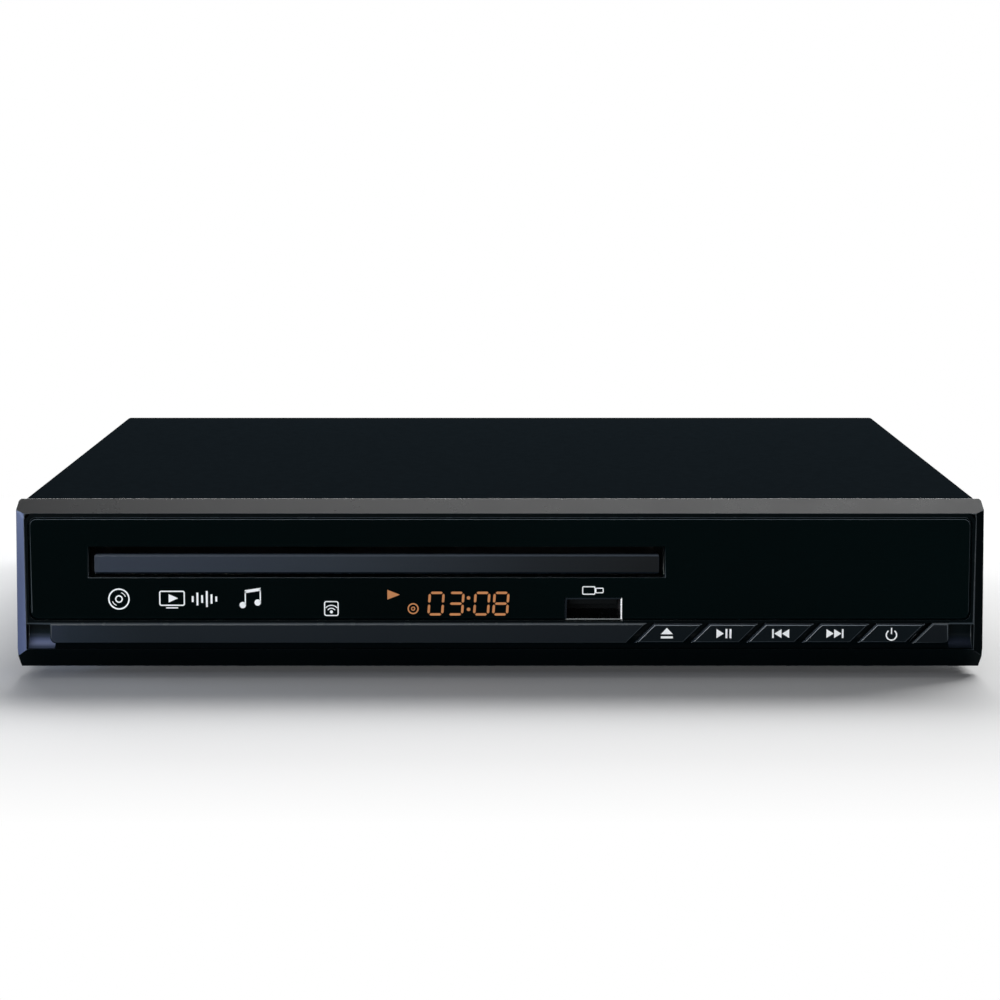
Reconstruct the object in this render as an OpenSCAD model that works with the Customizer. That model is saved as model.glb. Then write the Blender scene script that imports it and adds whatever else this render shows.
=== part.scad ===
// Compact disc player with a motorised front loading tray.
// Frame: +Z up, the front faces -Y, +X is to the right seen from the front. The origin is on the floor,
// under the middle of the outline.

/* [Case] */
// Width across the front panel at the top
case_w = 225.6; // [203:1:260]
// Depth from the front plane to the rear edge of the cover
case_d = 195; // [175:1:230]
// Height of the front panel, from its lower lip to its top edge
case_h = 39.6; // [39:0.5:60]
// Height of the rubber feet
foot_h = 3; // [2:0.5:8]
// Diameter of a foot
foot_d = 14; // [8:1:20]
// Thickness of the steel sheet of the cover and the rear panel
sheet_t = 0.8; // [0.6:0.1:1.2]
// Thickness of the steel base
base_t = 0.8; // [0.6:0.1:1.2]
// How far the front panel stands out past the cover on each side
cover_step = 0.6; // [0.4:0.1:1.5]
// How far the top of the cover lies under the top edge of the front panel
cover_sink = 0.2; // [0:0.1:0.6]
// Outer radius of the cover's folded edges
cover_r = 1.4; // [1.2:0.1:2.5]
// Height of the cover's rear lip
rear_lip_h = 9; // [7:1:12]
// Height of the base's side flanges
flange_h = 12; // [9:1:20]

/* [Front panel] */
// Depth of the sloping bevel along the top edge
bevel_d = 7; // [6:0.5:9]
// Rise of that bevel
bevel_rise = 2.65; // [2:0.1:4]
// Depth of the sloping lip along the bottom edge
lip_d = 5; // [3:0.5:6]
// Drop of that lip
lip_drop = 4.8; // [4:0.1:6]
// Width of the angled cheek at each side
cheek_w = 2.1; // [1.5:0.1:3]
// How far each cheek falls back
cheek_d = 1.8; // [1:0.1:2.5]
// Extra half width at the foot of the front panel
side_flare = 0.4; // [0:0.1:1]
// Corner chamfer of the front panel seen from the front
corner_cut = 0.4; // [0.2:0.1:1]
// Depth of the shallow pocket that holds the window and the keys
face_sink = 0.4; // [0.3:0.1:0.8]
// Corner radius of that pocket
face_r = 1.5; // [1:0.1:3]
// Thickness of the wall behind the window
wall_t = 2.4; // [2:0.1:3]
// Length of the rim that slides inside the cover
rim_d = 4; // [3:0.5:6]
// Thickness of that rim
rim_t = 2; // [1.5:0.1:3]

/* [Window] */
// Thickness of the glossy window
window_t = 2; // [1.5:0.1:3]
// Gap between the window and its pocket
window_gap = 0.1; // [0.05:0.05:0.2]
// Land between the edge of the face pocket and the window, at the top
window_land = 0.9; // [0.6:0.1:2]
// The same land at the two sides
window_side = 0.7; // [0.5:0.1:2]
// Corner radius of the window
window_r = 1.9; // [1:0.1:3]
// Chamfer round the window's front edge
window_c = 0.5; // [0.3:0.1:0.8]
// Height of the strip under the window that holds the keys
strip_h = 6.8; // [6.6:0.1:9]

/* [Keys] */
// Distance from one key to the next
key_pitch = 13; // [12.5:0.1:14]
// Width of a key along its top edge
key_w = 11.3; // [10:0.1:11.6]
// Height of a key
key_h = 4.5; // [4:0.1:5]
// From the last key's trim piece to the right cheek
key_side = 5.8; // [5:0.1:9]
// How far a key can be pressed
key_travel = 0.6; // [0.3:0.1:0.7]
// Depth of the channel that the keys sit in
channel_d = 3.2; // [3:0.1:4]
// Edge chamfer of the keys and the trim bar
key_c = 0.3; // [0.1:0.05:0.5]
// Width of a key's stem
stem_w = 3; // [2.5:0.1:4]
// Height of a key's stem
stem_h = 2.2; // [1.8:0.1:2.6]

/* [Tray] */
// Diameter of the disc that the tray takes
disc_d = 120; // [118:0.5:121]
// Room left for the boards behind the tray, up to the rear of the cover
rear_room = 28.8; // [27:0.1:34]
// Length of the tray that stays in its guides when it is out
tray_hold = 35; // [30:1:60]
// Height of the tray from its ribs to its rim
tray_h = 4.8; // [4.6:0.1:5.2]
// Gap between the tray's front cover and each end of the slot in the window
slot_side = 1.35; // [0.8:0.05:2.5]
// Gap under the tray's front cover
slot_low = 0.75; // [0.5:0.05:1.2]
// Gap over the tray's front cover
slot_high = 1.85; // [1:0.05:3]
// From the left cheek to the slot in the window
slot_margin = 14.7; // [13:0.1:20]
// Bottom of the slot above the front panel's lower lip
slot_up = 21.8; // [21.5:0.1:24]
// Width of the tray's front cover
door_w = 131.8; // [130.4:0.1:148]
// How far the tray's front cover stands out past the tray on each side
door_over = 0.6; // [0.3:0.1:1]
// Height of the tray's front cover
door_h = 4.7; // [4.4:0.1:5.5]
// Thickness of the tray's front cover
door_t = 2.2; // [1.5:0.1:3]
// How far the tray's front cover lies behind the window's face
door_sink = 0.4; // [0.1:0.1:1]
// Half width of the slot in the tray that clears the turntable
tray_slot_r = 17; // [15.5:0.5:19]

/* [Loading gear] */
// Module of the loading gears and the rack
gear_m = 1; // [1:1:1]
// Teeth of the pinion that drives the rack
rack_pinion_n = 16; // [14:2:18]
// Teeth of the large gear under that pinion
drive_n = 24; // [22:2:26]
// Teeth of the pinion on the belt pulley
pulley_n = 12; // [12:2:14]
// Radius of the belt pulley
pulley_r = 11; // [9:0.5:12]
// Radius of the pulley on the motor
motor_pulley_r = 3; // [2.5:0.5:4]
// Distance from the belt pulley to the motor
belt_span = 42; // [36:1:46]
// Thickness of the square belt
belt_t = 1.2; // [1:0.1:1.5]

/* [Traverse] */
// Angle that the traverse drops by to free the disc
drop_deg = 3.4; // [3.2:0.1:3.6]
// Sideways travel of the cam slider that carries the traverse
cam_travel = 20; // [18:1:22]
// Radius of the guide rods
rod_r = 1.5; // [1.2:0.1:1.8]
// Half distance between the guide rods
rod_x = 23; // [22.5:0.5:24]
// Radius of the turntable
table_r = 14; // [12:0.5:14.5]
// Module of the sled gears
sled_m = 0.6; // [0.6:1:0.6]

/* [Hidden] */
$fn = 64;

// Clearances
slide_gap = 0.2;
touch = 0.1;
run_gap = 0.05;
eps = 0.5;

// Case, worked out from the sizes above
jack_proud = 5;                                  // how far the coaxial socket stands out past the cover
y_front = -(case_d + jack_proud) / 2;            // front plane
y_rear = y_front + case_d;                       // outer face of the cover's rear lip
y_skin = y_front + bevel_d;                      // rear edge of the front panel's outer skin
y_face = y_front + face_sink;                    // sunk face round the window
y_window = y_face + 0.2;                         // front of the window
y_pocket = y_window + window_t;                  // floor of the window's pocket
y_wall = y_pocket + wall_t;                      // back of the front panel's wall
y_rim = y_skin + rim_d;                          // rear end of the front panel's rim
half_w = case_w / 2;
base_z = foot_h;                                 // underside of the steel base
base_top = base_z + base_t;
lip_z = foot_h - 1;                              // lowest edge of the front panel
top_z = lip_z + case_h;                          // highest edge of the front panel
face_z0 = lip_z + lip_drop;
face_z1 = top_z - bevel_rise;
cover_x = half_w - cover_step;                   // outer face of the cover's side
cover_in_x = cover_x - sheet_t;
cover_z = top_z - cover_sink;
cover_in_z = cover_z - sheet_t;
y_cover = y_skin + touch;                        // front edge of the cover
y_back_in = y_rear - sheet_t;                    // outer face of the rear panel
y_back = y_back_in - sheet_t;                    // inner face of the rear panel
cheek_x = half_w - cheek_w;                      // inner edge of a cheek
window_x = cheek_x - window_side;                // half width of the window's pocket
window_z1 = face_z1 - window_land;
window_z0 = face_z0 + strip_h + 0.1;

// Keys
key_z1 = window_z0 - 0.8;                        // top of the keys
key_z0 = key_z1 - key_h;
bar_z1 = window_z0 - 0.6;
bar_z0 = key_z0 - 0.2;
bar_x0 = -cheek_x + 5.5;                         // left end of the trim bar
end_w = 3.8;                                     // width of the short trim piece after the last key
key_x = cheek_x - key_side - end_w - 5 * key_pitch; // left end of the first key's top edge
key_gap = key_pitch - key_w;
channel_z1 = window_z0 - 0.55;                   // top of the channel where the keys are
land_z = window_z0 - 1;                          // top of the channel at its two ends
y_channel = y_face + channel_d;                  // back of the channel
key_back = 1.4;                                  // clear depth behind a key's body

// Tray
slot_z = lip_z + slot_up;
slot_w = door_w + 2 * slot_side;
slot_h = slot_low + door_h + slot_high;
slot_x = slot_margin + slot_w / 2 - cheek_x;     // middle of the slot, the tray and the disc
door_z = slot_z + slot_low;
tray_z = door_z - 0.4;                           // underside of the tray's ribs
tray_w = door_w - 2 * door_over;
y_door = y_window + door_sink;                   // front of the tray's front cover
y_tray = y_door + door_t;                        // front of the tray behind it
y_tray_end = y_rear - rear_room;
tray_travel = y_tray_end - y_tray - tray_hold;   // how far the tray comes out
tray_x0 = slot_x - tray_w / 2;
tray_x1 = slot_x + tray_w / 2;
rib_h = 1.6;
floor_t = 1.7;
floor_z = tray_z + rib_h;                        // underside of the tray's floor
ledge_z = floor_z + floor_t;                     // surface that the disc lies on
tray_top = tray_z + tray_h;
y_disc = y_tray + disc_d / 2 + 6;                // middle of the disc with the tray closed
disc_z = tray_top - 0.8;                         // underside of the disc when the turntable holds it

// Loader
guide_gap = 0.4;
guide_t = 2;
guide_x0 = tray_x0 - guide_gap;                  // inner faces of the loader's side walls
guide_x1 = tray_x1 + guide_gap;
side_x0 = guide_x0 - guide_t;                    // outer faces of those walls
side_x1 = guide_x1 + guide_t;
guide_top = tray_top + 1.9;
deck_z = base_top + 10.6;                        // underside of the loader's deck
deck_t = 1.6;
deck_top = deck_z + deck_t;
y_loader = y_wall + 11;                          // front end of the loader
y_loader_end = y_tray_end + 2;
bridge_t = 1.8;
bridge_w = 26;
rail_top = tray_z - 0.1;

// Loading gears, in a row across the front of the loader
rack_root_x = tray_x0 + 4.1;                     // root of the rack's teeth
rack_x = rack_root_x + 1.2 * gear_m;             // pitch line of the rack
rack_pinion_r = gear_m * rack_pinion_n / 2;
drive_r = gear_m * drive_n / 2;
pulley_pinion_r = gear_m * pulley_n / 2;
gear_y = y_loader + 12;
drive_x = rack_x + rack_pinion_r;
pulley_x = drive_x + drive_r + pulley_pinion_r;
motor_x = pulley_x + belt_span;
gear_post_r = 1.5;
gear_t = 2.4;
drive_z = rail_top - gear_t - 1.6;               // underside of the large drive gear
belt_z = deck_top + 0.7;                         // underside of the belt pulleys
belt_h = 3;

// Traverse: it is drawn level, as it plays, and swings down about a pin behind the pickup
hinge_y = y_loader_end - 10.2;
hinge_z = deck_z + 1.1;
hinge_r = 2;
plate_z = deck_z - 0.4;
plate_t = 3;
plate_top = plate_z + plate_t;
trav_x0 = slot_x - 36;
trav_x1 = slot_x + 45;
y_trav = y_disc - 22.7;                          // front edge of the traverse
y_trav_end = hinge_y + 4;
y_cam = y_trav - 2;                              // back of the cam slider
cam_t = 2;
cam_pin_x = 25;                                  // half distance between the traverse's front pins
cam_pin_r = 1.5;
cam_pin_z = plate_z + plate_t / 2;
cam_drop = (hinge_y - y_cam + cam_t / 2) * sin(drop_deg);
rod_z = plate_top + 2.6;
lens_r = 24;                                     // radius that the lens reads at with the pickup fully in
y_lens = y_disc + lens_r;
sled_y0 = y_lens - 14;
sled_y1 = y_lens + 18;
seat_t = 3;                                      // thickness of the seats that hold the rods
seat_half = rod_r + 0.6;                         // half width of those seats
bearing_half = rod_r + 0.9;                      // half width of the pickup's bearings
sled_half = rod_x - seat_half - 0.5;             // half width of the pickup's body
rod_y0 = sled_y0 - 1.5;
rod_y1 = hinge_y - 9.3;
sled_travel = rod_y1 - seat_t - 0.5 - sled_y1;   // travel of the pickup along its rods
sled_small_n = 16;
sled_large_n = 22;
sled_pinion_n = 12;
sled_rack_x = slot_x + rod_x + 5;                // pitch line of the rack on the pickup
sled_gear_x = sled_rack_x + sled_m * sled_small_n / 2;
sled_gear_y = y_lens + 10;
sled_motor_y = sled_gear_y + sled_m * (sled_large_n + sled_pinion_n) / 2;
sled_gear_z = plate_top + 0.4;                   // underside of the large sled gear
sled_gear_t = 1.8;

// Boards
board_t = 1.6;
stand_h = 4;
board_z = base_top + stand_h;                    // underside of the two flat boards
board_top = board_z + board_t;
y_board = y_wall + 3.4;                          // front of the upright front board
y_board_back = y_board + board_t;
usb_x = key_x - 14.2;
display_x1 = usb_x - 16.65;
display_x0 = display_x1 - 37;
figure_x = display_x0 + 16.8;                    // middle of the display's first figure
ir_x = display_x0 - 7.7;
front_board_x0 = display_x0 - 15;
front_board_x1 = key_x + 5 * key_pitch + 4;
front_board_z0 = base_top + 1.7;
front_board_z1 = slot_z - 0.8;
ribbon_x0 = side_x1 + 1.2;                       // the ribbon runs on the base, beside the loader
ribbon_x1 = ribbon_x0 + 5;
ribbon_z = base_top + 0.1;
main_x0 = tray_x0 - 4;
main_x1 = ribbon_x1 + 1.2;
main_y0 = y_loader_end + 2.6;
power_x0 = main_x1 + 1.6;
power_x1 = cover_in_x - 3.4;
power_y0 = y_back - 88;
usb_w = 13.6;
usb_h = 5.5;
usb_z = window_z0 - 0.2;
usb_len = 14;
figure_z = window_z0 + 3.9;
ir_z = window_z0 + 3;
scart_x = slot_x - 31;
hdmi_x = slot_x + 9;
coax_x = slot_x + 31;
coax_z = board_top + 6.4;
inlet_x = half_w - 25;

// ---------------------------------------------------------------- helpers

// A box between two corners
module block(x, y, z) {
    translate([x[0], y[0], z[0]]) cube([x[1] - x[0], y[1] - y[0], z[1] - z[0]]);
}

// Extrudes a shape drawn in Y and Z along X
module along_x(x0, x1) {
    translate([x0, 0, 0]) rotate([90, 0, 90]) linear_extrude(x1 - x0) children();
}

// Extrudes a shape drawn in X and Z along Y
module along_y(y0, y1) {
    translate([0, y1, 0]) rotate([90, 0, 0]) linear_extrude(y1 - y0) children();
}

// Cylinders along each axis, from a start point
module rod_along_x(at, len, r) {
    translate(at) rotate([0, 90, 0]) cylinder(h = len, r = r);
}

module rod_along_y(at, len, r) {
    translate(at) rotate([-90, 0, 0]) cylinder(h = len, r = r);
}

module rod_along_z(at, len, r) {
    translate(at) cylinder(h = len, r = r);
}

// A rectangle between two corners, with round corners
module round_rect(x, z, r) {
    translate([x[0] + r, z[0]]) square([x[1] - x[0] - 2 * r, z[1] - z[0]]);
    translate([x[0], z[0] + r]) square([x[1] - x[0], z[1] - z[0] - 2 * r]);
    for (cx = [x[0] + r, x[1] - r], cz = [z[0] + r, z[1] - r])
        translate([cx, cz]) circle(r = r);
}

// A straight slot between two points
module slot_2d(a, b, r) {
    run = norm(b - a);
    translate(a) rotate(atan2(b[1] - a[1], b[0] - a[0])) translate([0, -r]) square([run, 2 * r]);
    translate(a) circle(r = r);
    translate(b) circle(r = r);
}

// Outline of a gear with involute flanks and a tooth on the +X axis
function involute(base, r) = let (t = sqrt(max(0, pow(r / base, 2) - 1))) t * 180 / PI - atan(t);
function gear_points(n, m, add = 0.85, ded = 1.15, play = 0.12) = let (
        pitch = m * n / 2,
        base = pitch * cos(20),
        tip = pitch + add * m,
        root = pitch - ded * m,
        half = 90 / n - play * 90 / (PI * pitch) + involute(base, pitch),
        low = max(base, root),
        radii = [for (k = [0:3]) low + (tip - low) * k / 3]
    ) [for (i = [0:n - 1]) each concat(
        [root * [cos(i * 360 / n - half), sin(i * 360 / n - half)]],
        [for (r = radii) r * [cos(i * 360 / n - half + involute(base, r)),
                              sin(i * 360 / n - half + involute(base, r))]],
        [for (k = [3:-1:0]) let (r = radii[k]) r * [cos(i * 360 / n + half - involute(base, r)),
                                                     sin(i * 360 / n + half - involute(base, r))]],
        [root * [cos(i * 360 / n + half), sin(i * 360 / n + half)]]
    )];

module gear(n, m, t) {
    linear_extrude(t) polygon(gear_points(n, m));
}

// Rack along Y with its teeth towards +X: x = 0 is the pitch line, and a tooth gap lies at y = 0
module rack_2d(first, last, m, back, play = 0.12) {
    pitch = PI * m;
    slope = tan(20);
    add = 0.85 * m;
    ded = 1.15 * m;
    half = pitch / 4 - play / 2;
    points = [for (k = [first:last]) let (c = (k + 0.5) * pitch) each [
        [-ded, c - half - ded * slope], [add, c - half + add * slope],
        [add, c + half - add * slope], [-ded, c + half + ded * slope]
    ]];
    y0 = (first + 0.5) * pitch - half - ded * slope;
    y1 = (last + 0.5) * pitch + half + ded * slope;
    polygon(concat([[-back, y0]], points, [[-back, y1]]));
}

// A pan-head screw with a cross recess: its head's seat is at z = 0 and its shank points down
module screw(len, r = 1.4, head_r = 2.7, head_h = 1.2) {
    rod_along_z([0, 0, -len], len + 0.2, r);
    difference() {
        cylinder(h = head_h, r = head_r);
        for (turn = [0, 90]) rotate(turn)
            translate([-1.5, -0.35, head_h - 0.7]) cube([3, 0.7, 1]);
    }
}

// ---------------------------------------------------------------- case

// Side outline of the front panel, in Y and Z
module panel_side_2d() {
    polygon([[y_front, face_z0], [y_front, face_z1], [y_skin, top_z], [y_skin, lip_z],
             [y_front + lip_d, lip_z]]);
}

// Front outline of the front panel, in X and Z
module panel_front_2d() {
    w0 = half_w + side_flare;
    c = corner_cut;
    polygon([[-w0, face_z0], [-w0 + c, lip_z], [w0 - c, lip_z], [w0, face_z0],
             [half_w, top_z - c], [half_w - c, top_z], [-half_w + c, top_z], [-half_w, top_z - c]]);
}

// Plan of the front panel, in X and Y, with an angled cheek at each side
module panel_plan_2d() {
    w0 = half_w + side_flare;
    y_cheek = y_front + cheek_d * (w0 - cheek_x) / cheek_w;
    polygon([[-cheek_x, y_front], [cheek_x, y_front], [w0, y_cheek], [w0, y_skin],
             [-w0, y_skin], [-w0, y_cheek]]);
}

// Profile of the channel that the keys sit in: square above, a round cove below
module channel_2d(top) {
    cove = channel_d;
    cove_z = face_z0 + 0.1 + cove;
    translate([y_face - eps, cove_z]) square([channel_d + eps, top - cove_z]);
    intersection() {
        translate([y_face, cove_z]) circle(r = cove);
        translate([y_face - eps, cove_z - cove]) square([cove + eps, cove + eps]);
    }
}

// Outline of a key, in X and Z, from the left end of its top edge
module key_2d(x, inset = 0) {
    i = inset;
    slant = key_h;
    polygon([[x + i * 0.42, key_z1 - i], [x + key_w - i * 2.41, key_z1 - i],
             [x + key_w - slant - i * 0.42, key_z0 + i], [x - slant + i * 2.41, key_z0 + i]]);
}

// Outline of the long trim bar left of the keys, with a round lower left corner
module bar_2d(inset = 0) {
    i = inset;
    r = 1.4;
    x1 = key_x - key_gap;
    slant = bar_z1 - bar_z0;
    polygon(concat(
        [[bar_x0 + i, bar_z1 - i], [x1 - i * 2.41, bar_z1 - i], [x1 - slant - i * 0.42, bar_z0 + i]],
        [for (a = [270:-15:180]) [bar_x0 + r + (r - i) * cos(a), bar_z0 + r + (r - i) * sin(a)]]
    ));
}

// Outline of the short trim piece right of the keys
module end_2d(inset = 0) {
    i = inset;
    r = 1;
    x0 = key_x + 5 * key_pitch;
    x1 = x0 + end_w;
    slant = bar_z1 - bar_z0;
    polygon(concat(
        [[x0 + i * 0.42, bar_z1 - i], [x1 - i, bar_z1 - i]],
        [for (a = [0:-15:-90]) [x1 - r + (r - i) * cos(a), bar_z0 + r + (r - i) * sin(a)]],
        [[x0 - slant + i * 2.41, bar_z0 + i]]
    ));
}

// The opening that the tray passes through
module tray_opening(y0, y1) {
    block([slot_x - slot_w / 2, slot_x + slot_w / 2], [y0, y1], [slot_z, slot_z + slot_h]);
}

// Where each key's stem and switch stand
function key_mid(i) = key_x + i * key_pitch + key_w / 2 - key_h / 2;
stem_z = key_z0 + key_h / 2;

// Bosses that the front board is screwed to, the middle one clear of the ribbon's connector
board_boss = [[front_board_x0 + 4, front_board_z0 + 3.4],
              [min(key_x - 8, ribbon_x0 - 3.6), front_board_z0 + 3.4],
              [key_x + 5 * key_pitch - 2, front_board_z1 - 3.4]];

module front_panel() {
    color([0.055, 0.06, 0.075]) difference() {
        union() {
            difference() {
                intersection() {
                    along_x(-half_w - side_flare, half_w + side_flare) panel_side_2d();
                    along_y(y_front, y_skin) panel_front_2d();
                    translate([0, 0, lip_z]) linear_extrude(case_h) panel_plan_2d();
                }
                along_y(y_front - eps, y_face)
                    round_rect([-cheek_x, cheek_x], [face_z0 + 0.1, face_z1], face_r);
                along_x(-cheek_x, cheek_x) channel_2d(land_z);
                along_x(key_x - key_h - key_gap - 1, key_x + 5 * key_pitch + end_w) channel_2d(channel_z1);
            }
            // Trim bar and end piece
            hull() {
                along_y(y_front, y_front + key_c) bar_2d(key_c);
                along_y(y_front + key_c, y_channel + eps) bar_2d();
            }
            hull() {
                along_y(y_front, y_front + key_c) end_2d(key_c);
                along_y(y_front + key_c, y_channel + eps) end_2d();
            }
            // Rim inside the cover
            difference() {
                along_y(y_skin - eps, y_rim) arch_2d(cover_in_x - touch, base_top + 6, cover_in_z - touch);
                block([-cover_in_x + touch + rim_t, cover_in_x - touch - rim_t], [y_skin - 1, y_rim + 1],
                      [base_top, cover_in_z - touch - rim_t]);
            }
            // Sill that the steel base lies on
            block([-cover_in_x + rim_t, cover_in_x - rim_t], [y_skin - eps, y_rim], [lip_z, base_z]);
        }
        // Hollow behind the wall
        block([-cover_in_x + touch + rim_t, cover_in_x - touch - rim_t], [y_wall, y_rim + eps],
              [base_z, cover_in_z - touch - rim_t]);
        // Pocket for the window
        along_y(y_face - eps, y_pocket)
            round_rect([-window_x, window_x], [window_z0, window_z1], window_r);
        // Tray slot, display, remote sensor and USB openings
        tray_opening(y_face - 1, y_wall + 1);
        block([display_x0 - touch, display_x1 + touch], [y_face - 1, y_wall + 1],
              [window_z0 + 0.3, front_board_z1 - 0.4]);
        rod_along_y([ir_x, y_face, ir_z], 10, 2.6);
        block([usb_x - usb_w / 2, usb_x + usb_w / 2], [y_face - 1, y_wall + 1], [usb_z, usb_z + usb_h]);
        // Guide holes for the key stems
        for (i = [0:4])
            block([key_mid(i) - stem_w / 2 - slide_gap, key_mid(i) + stem_w / 2 + slide_gap],
                  [y_channel - 1, y_wall + 1],
                  [stem_z - stem_h / 2 - slide_gap, stem_z + stem_h / 2 + slide_gap]);
    }
    // Bosses for the front board
    color([0.055, 0.06, 0.075]) for (at = board_boss) difference() {
        rod_along_y([at[0], y_wall - 0.3, at[1]], y_board - y_wall + 0.3, 2.4);
        rod_along_y([at[0], y_wall + 0.4, at[1]], 5, 1);
    }
}

module fascia_window() {
    g = window_gap;
    color([0.008, 0.012, 0.016]) difference() {
        hull() {
            along_y(y_window, y_window + window_c)
                round_rect([-window_x + g + window_c, window_x - g - window_c],
                           [window_z0 + g + window_c, window_z1 - g - window_c], window_r - window_c);
            along_y(y_window + window_c, y_pocket)
                round_rect([-window_x + g, window_x - g], [window_z0 + g, window_z1 - g], window_r);
        }
        tray_opening(y_window - 1, y_pocket + 1);
        block([usb_x - usb_w / 2, usb_x + usb_w / 2], [y_window - 1, y_pocket + 1],
              [usb_z - eps, usb_z + usb_h]);
    }
}

// Outline that fits inside the folded cover, in X and Z
module arch_2d(x, z0, z1) {
    c = cover_r - sheet_t;
    polygon([[-x, z0], [x, z0], [x, z1 - c], [x - c, z1], [-x + c, z1], [-x, z1 - c]]);
}

// Section of the folded cover, in X and Z
module cover_2d() {
    difference() {
        union() {
            round_rect([-cover_x, cover_x], [cover_z - 4 * cover_r, cover_z], cover_r);
            translate([-cover_x, base_z]) square([2 * cover_x, cover_z - base_z - 2 * cover_r]);
        }
        round_rect([-cover_in_x, cover_in_x], [cover_in_z - 4 * cover_r, cover_in_z], cover_r - sheet_t);
        translate([-cover_in_x, base_z - 1])
            square([2 * cover_in_x, cover_in_z - base_z + 1 - 2 * (cover_r - sheet_t)]);
    }
}

side_screw_y = [y_rim + 24, y_back - 20];
side_screw_z = base_top + flange_h / 2 + 1;
rear_screw_x = [-half_w + 16, 0, half_w - 16];
rear_screw_z = cover_z - rear_lip_h + 3.6;
screw_hole_r = 1.5;

module top_cover() {
    color([0.02, 0.022, 0.026]) difference() {
        union() {
            along_y(y_cover, y_rear) cover_2d();
            // Rear lip, folded down over the rear panel
            block([-cover_in_x, cover_in_x], [y_back_in, y_rear], [cover_z - rear_lip_h, cover_in_z]);
        }
        for (y = side_screw_y)
            rod_along_x([-cover_x - 1, y, side_screw_z], 2 * cover_x + 2, screw_hole_r);
        for (x = rear_screw_x)
            rod_along_y([x, y_back, rear_screw_z], 3, screw_hole_r);
    }
}

foot_x = half_w - 14;
foot_y0 = y_loader + 20;
foot_y1 = y_loader_end + 5;

// Posts of the loader frame, and the places where the loader and the boards are screwed down
loader_post = [for (x = [guide_x0 + 6, guide_x1 - 6], y = [y_loader + 5, y_loader_end - 6]) [x, y]];
main_post = [[main_x0 + 4, main_y0 + 4], [main_x0 + 4, y_back - 4], [main_x1 - 14, y_back - 4]];
power_post = [for (x = [power_x0 + 4, power_x1 - 4]) [x, power_y0 + 4], [power_x0 + 4, y_back - 5]];
panel_screw_at = [[main_x0 + 20, y_back - 4], [power_x0 + 20, y_back - 4]];
base_screw_at = concat(loader_post, panel_screw_at);

module base_pan() {
    front_x = cover_in_x - rim_t - touch;
    color([0.5, 0.51, 0.52]) difference() {
        union() {
            block([-front_x, front_x], [y_wall + touch, y_rim], [base_z, base_top]);
            block([-cover_in_x, cover_in_x], [y_rim, y_back_in], [base_z, base_top]);
            // Side flanges inside the cover
            for (side = [0, 1]) mirror([side, 0, 0])
                block([cover_in_x - base_t, cover_in_x], [y_rim + 0.4, y_back - 1],
                      [base_z, base_top + flange_h]);
            // Standoffs for the boards
            for (at = concat(main_post, power_post))
                rod_along_z([at[0], at[1], base_top - 0.2], stand_h + 0.2, 3);
        }
        for (at = concat(main_post, power_post))
            rod_along_z([at[0], at[1], base_top + 0.4], stand_h + 1, 1.2);
        for (at = base_screw_at)
            rod_along_z([at[0], at[1], base_z - 1], 3, screw_hole_r);
        for (y = side_screw_y)
            rod_along_x([-cover_in_x - 1, y, side_screw_z], 2 * cover_in_x + 2, screw_hole_r);
        // Cooling slots under the power board
        for (x = [power_x0 + 10 : 5 : power_x1 - 18], row = [0, 1])
            translate([x, power_y0 + 16 + row * 22, base_z - 1])
                linear_extrude(3) slot_2d([0, 0], [0, 16], 1);
        // Cooling slots under the loader's motor
        for (i = [0:8])
            translate([pulley_x + i * 5, gear_y + 28, base_z - 1])
                linear_extrude(3) slot_2d([0, 0], [0, 16], 1);
    }
}

module rear_panel() {
    foot_end = cover_in_x - base_t - 1;
    color([0.5, 0.51, 0.52]) difference() {
        union() {
            along_y(y_back, y_back_in) arch_2d(cover_in_x, base_top, cover_in_z);
            // Foot that lies on the base
            block([-foot_end, foot_end], [y_back - 8, y_back], [base_top, base_top + sheet_t]);
        }
        block([scart_x - 24, scart_x + 24], [y_back - 1, y_rear], [board_top - 0.3, board_top + 13.3]);
        block([hdmi_x - 7.8, hdmi_x + 7.8], [y_back - 1, y_rear], [board_top - 0.2, board_top + 6.3]);
        rod_along_y([coax_x, y_back - 1, coax_z], 4, 4.6);
        block([inlet_x - 10.7, inlet_x + 10.7], [y_back - 1, y_rear], [board_top - 0.2, board_top + 13.2]);
        for (x = rear_screw_x)
            rod_along_y([x, y_back - 1, rear_screw_z], 3, screw_hole_r);
        for (at = base_screw_at)
            rod_along_z([at[0], at[1], base_top - 1], 3, screw_hole_r);
        for (at = concat(main_post, power_post))
            rod_along_z([at[0], at[1], base_top - 1], 3, 3.4);
        // Cooling slots
        for (i = [0:13])
            translate([power_x0 - 4 - i * 5, y_back_in + 1, board_top + 16])
                rotate([90, 0, 0]) linear_extrude(3) slot_2d([0, 0], [0, 7], 1);
    }
}

module foot(x, y) {
    color([0.06, 0.06, 0.06]) translate([x, y, 0]) rotate_extrude()
        polygon([[0, 0], [foot_d / 2 - 1, 0], [foot_d / 2, 0.6], [foot_d / 2, foot_h], [0, foot_h]]);
}

module foot_front_left() {
    foot(-foot_x, foot_y0);
}

module foot_front_right() {
    foot(foot_x, foot_y0);
}

module foot_rear_left() {
    foot(-foot_x, foot_y1);
}

module foot_rear_right() {
    foot(foot_x, foot_y1);
}

module cover_screws() {
    color([0.05, 0.05, 0.05]) {
        for (side = [0, 1], y = side_screw_y) mirror([side, 0, 0])
            translate([cover_x, y, side_screw_z]) rotate([0, 90, 0]) screw(4);
        for (x = rear_screw_x)
            translate([x, y_rear, rear_screw_z]) rotate([-90, 0, 0]) screw(4);
    }
}

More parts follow.
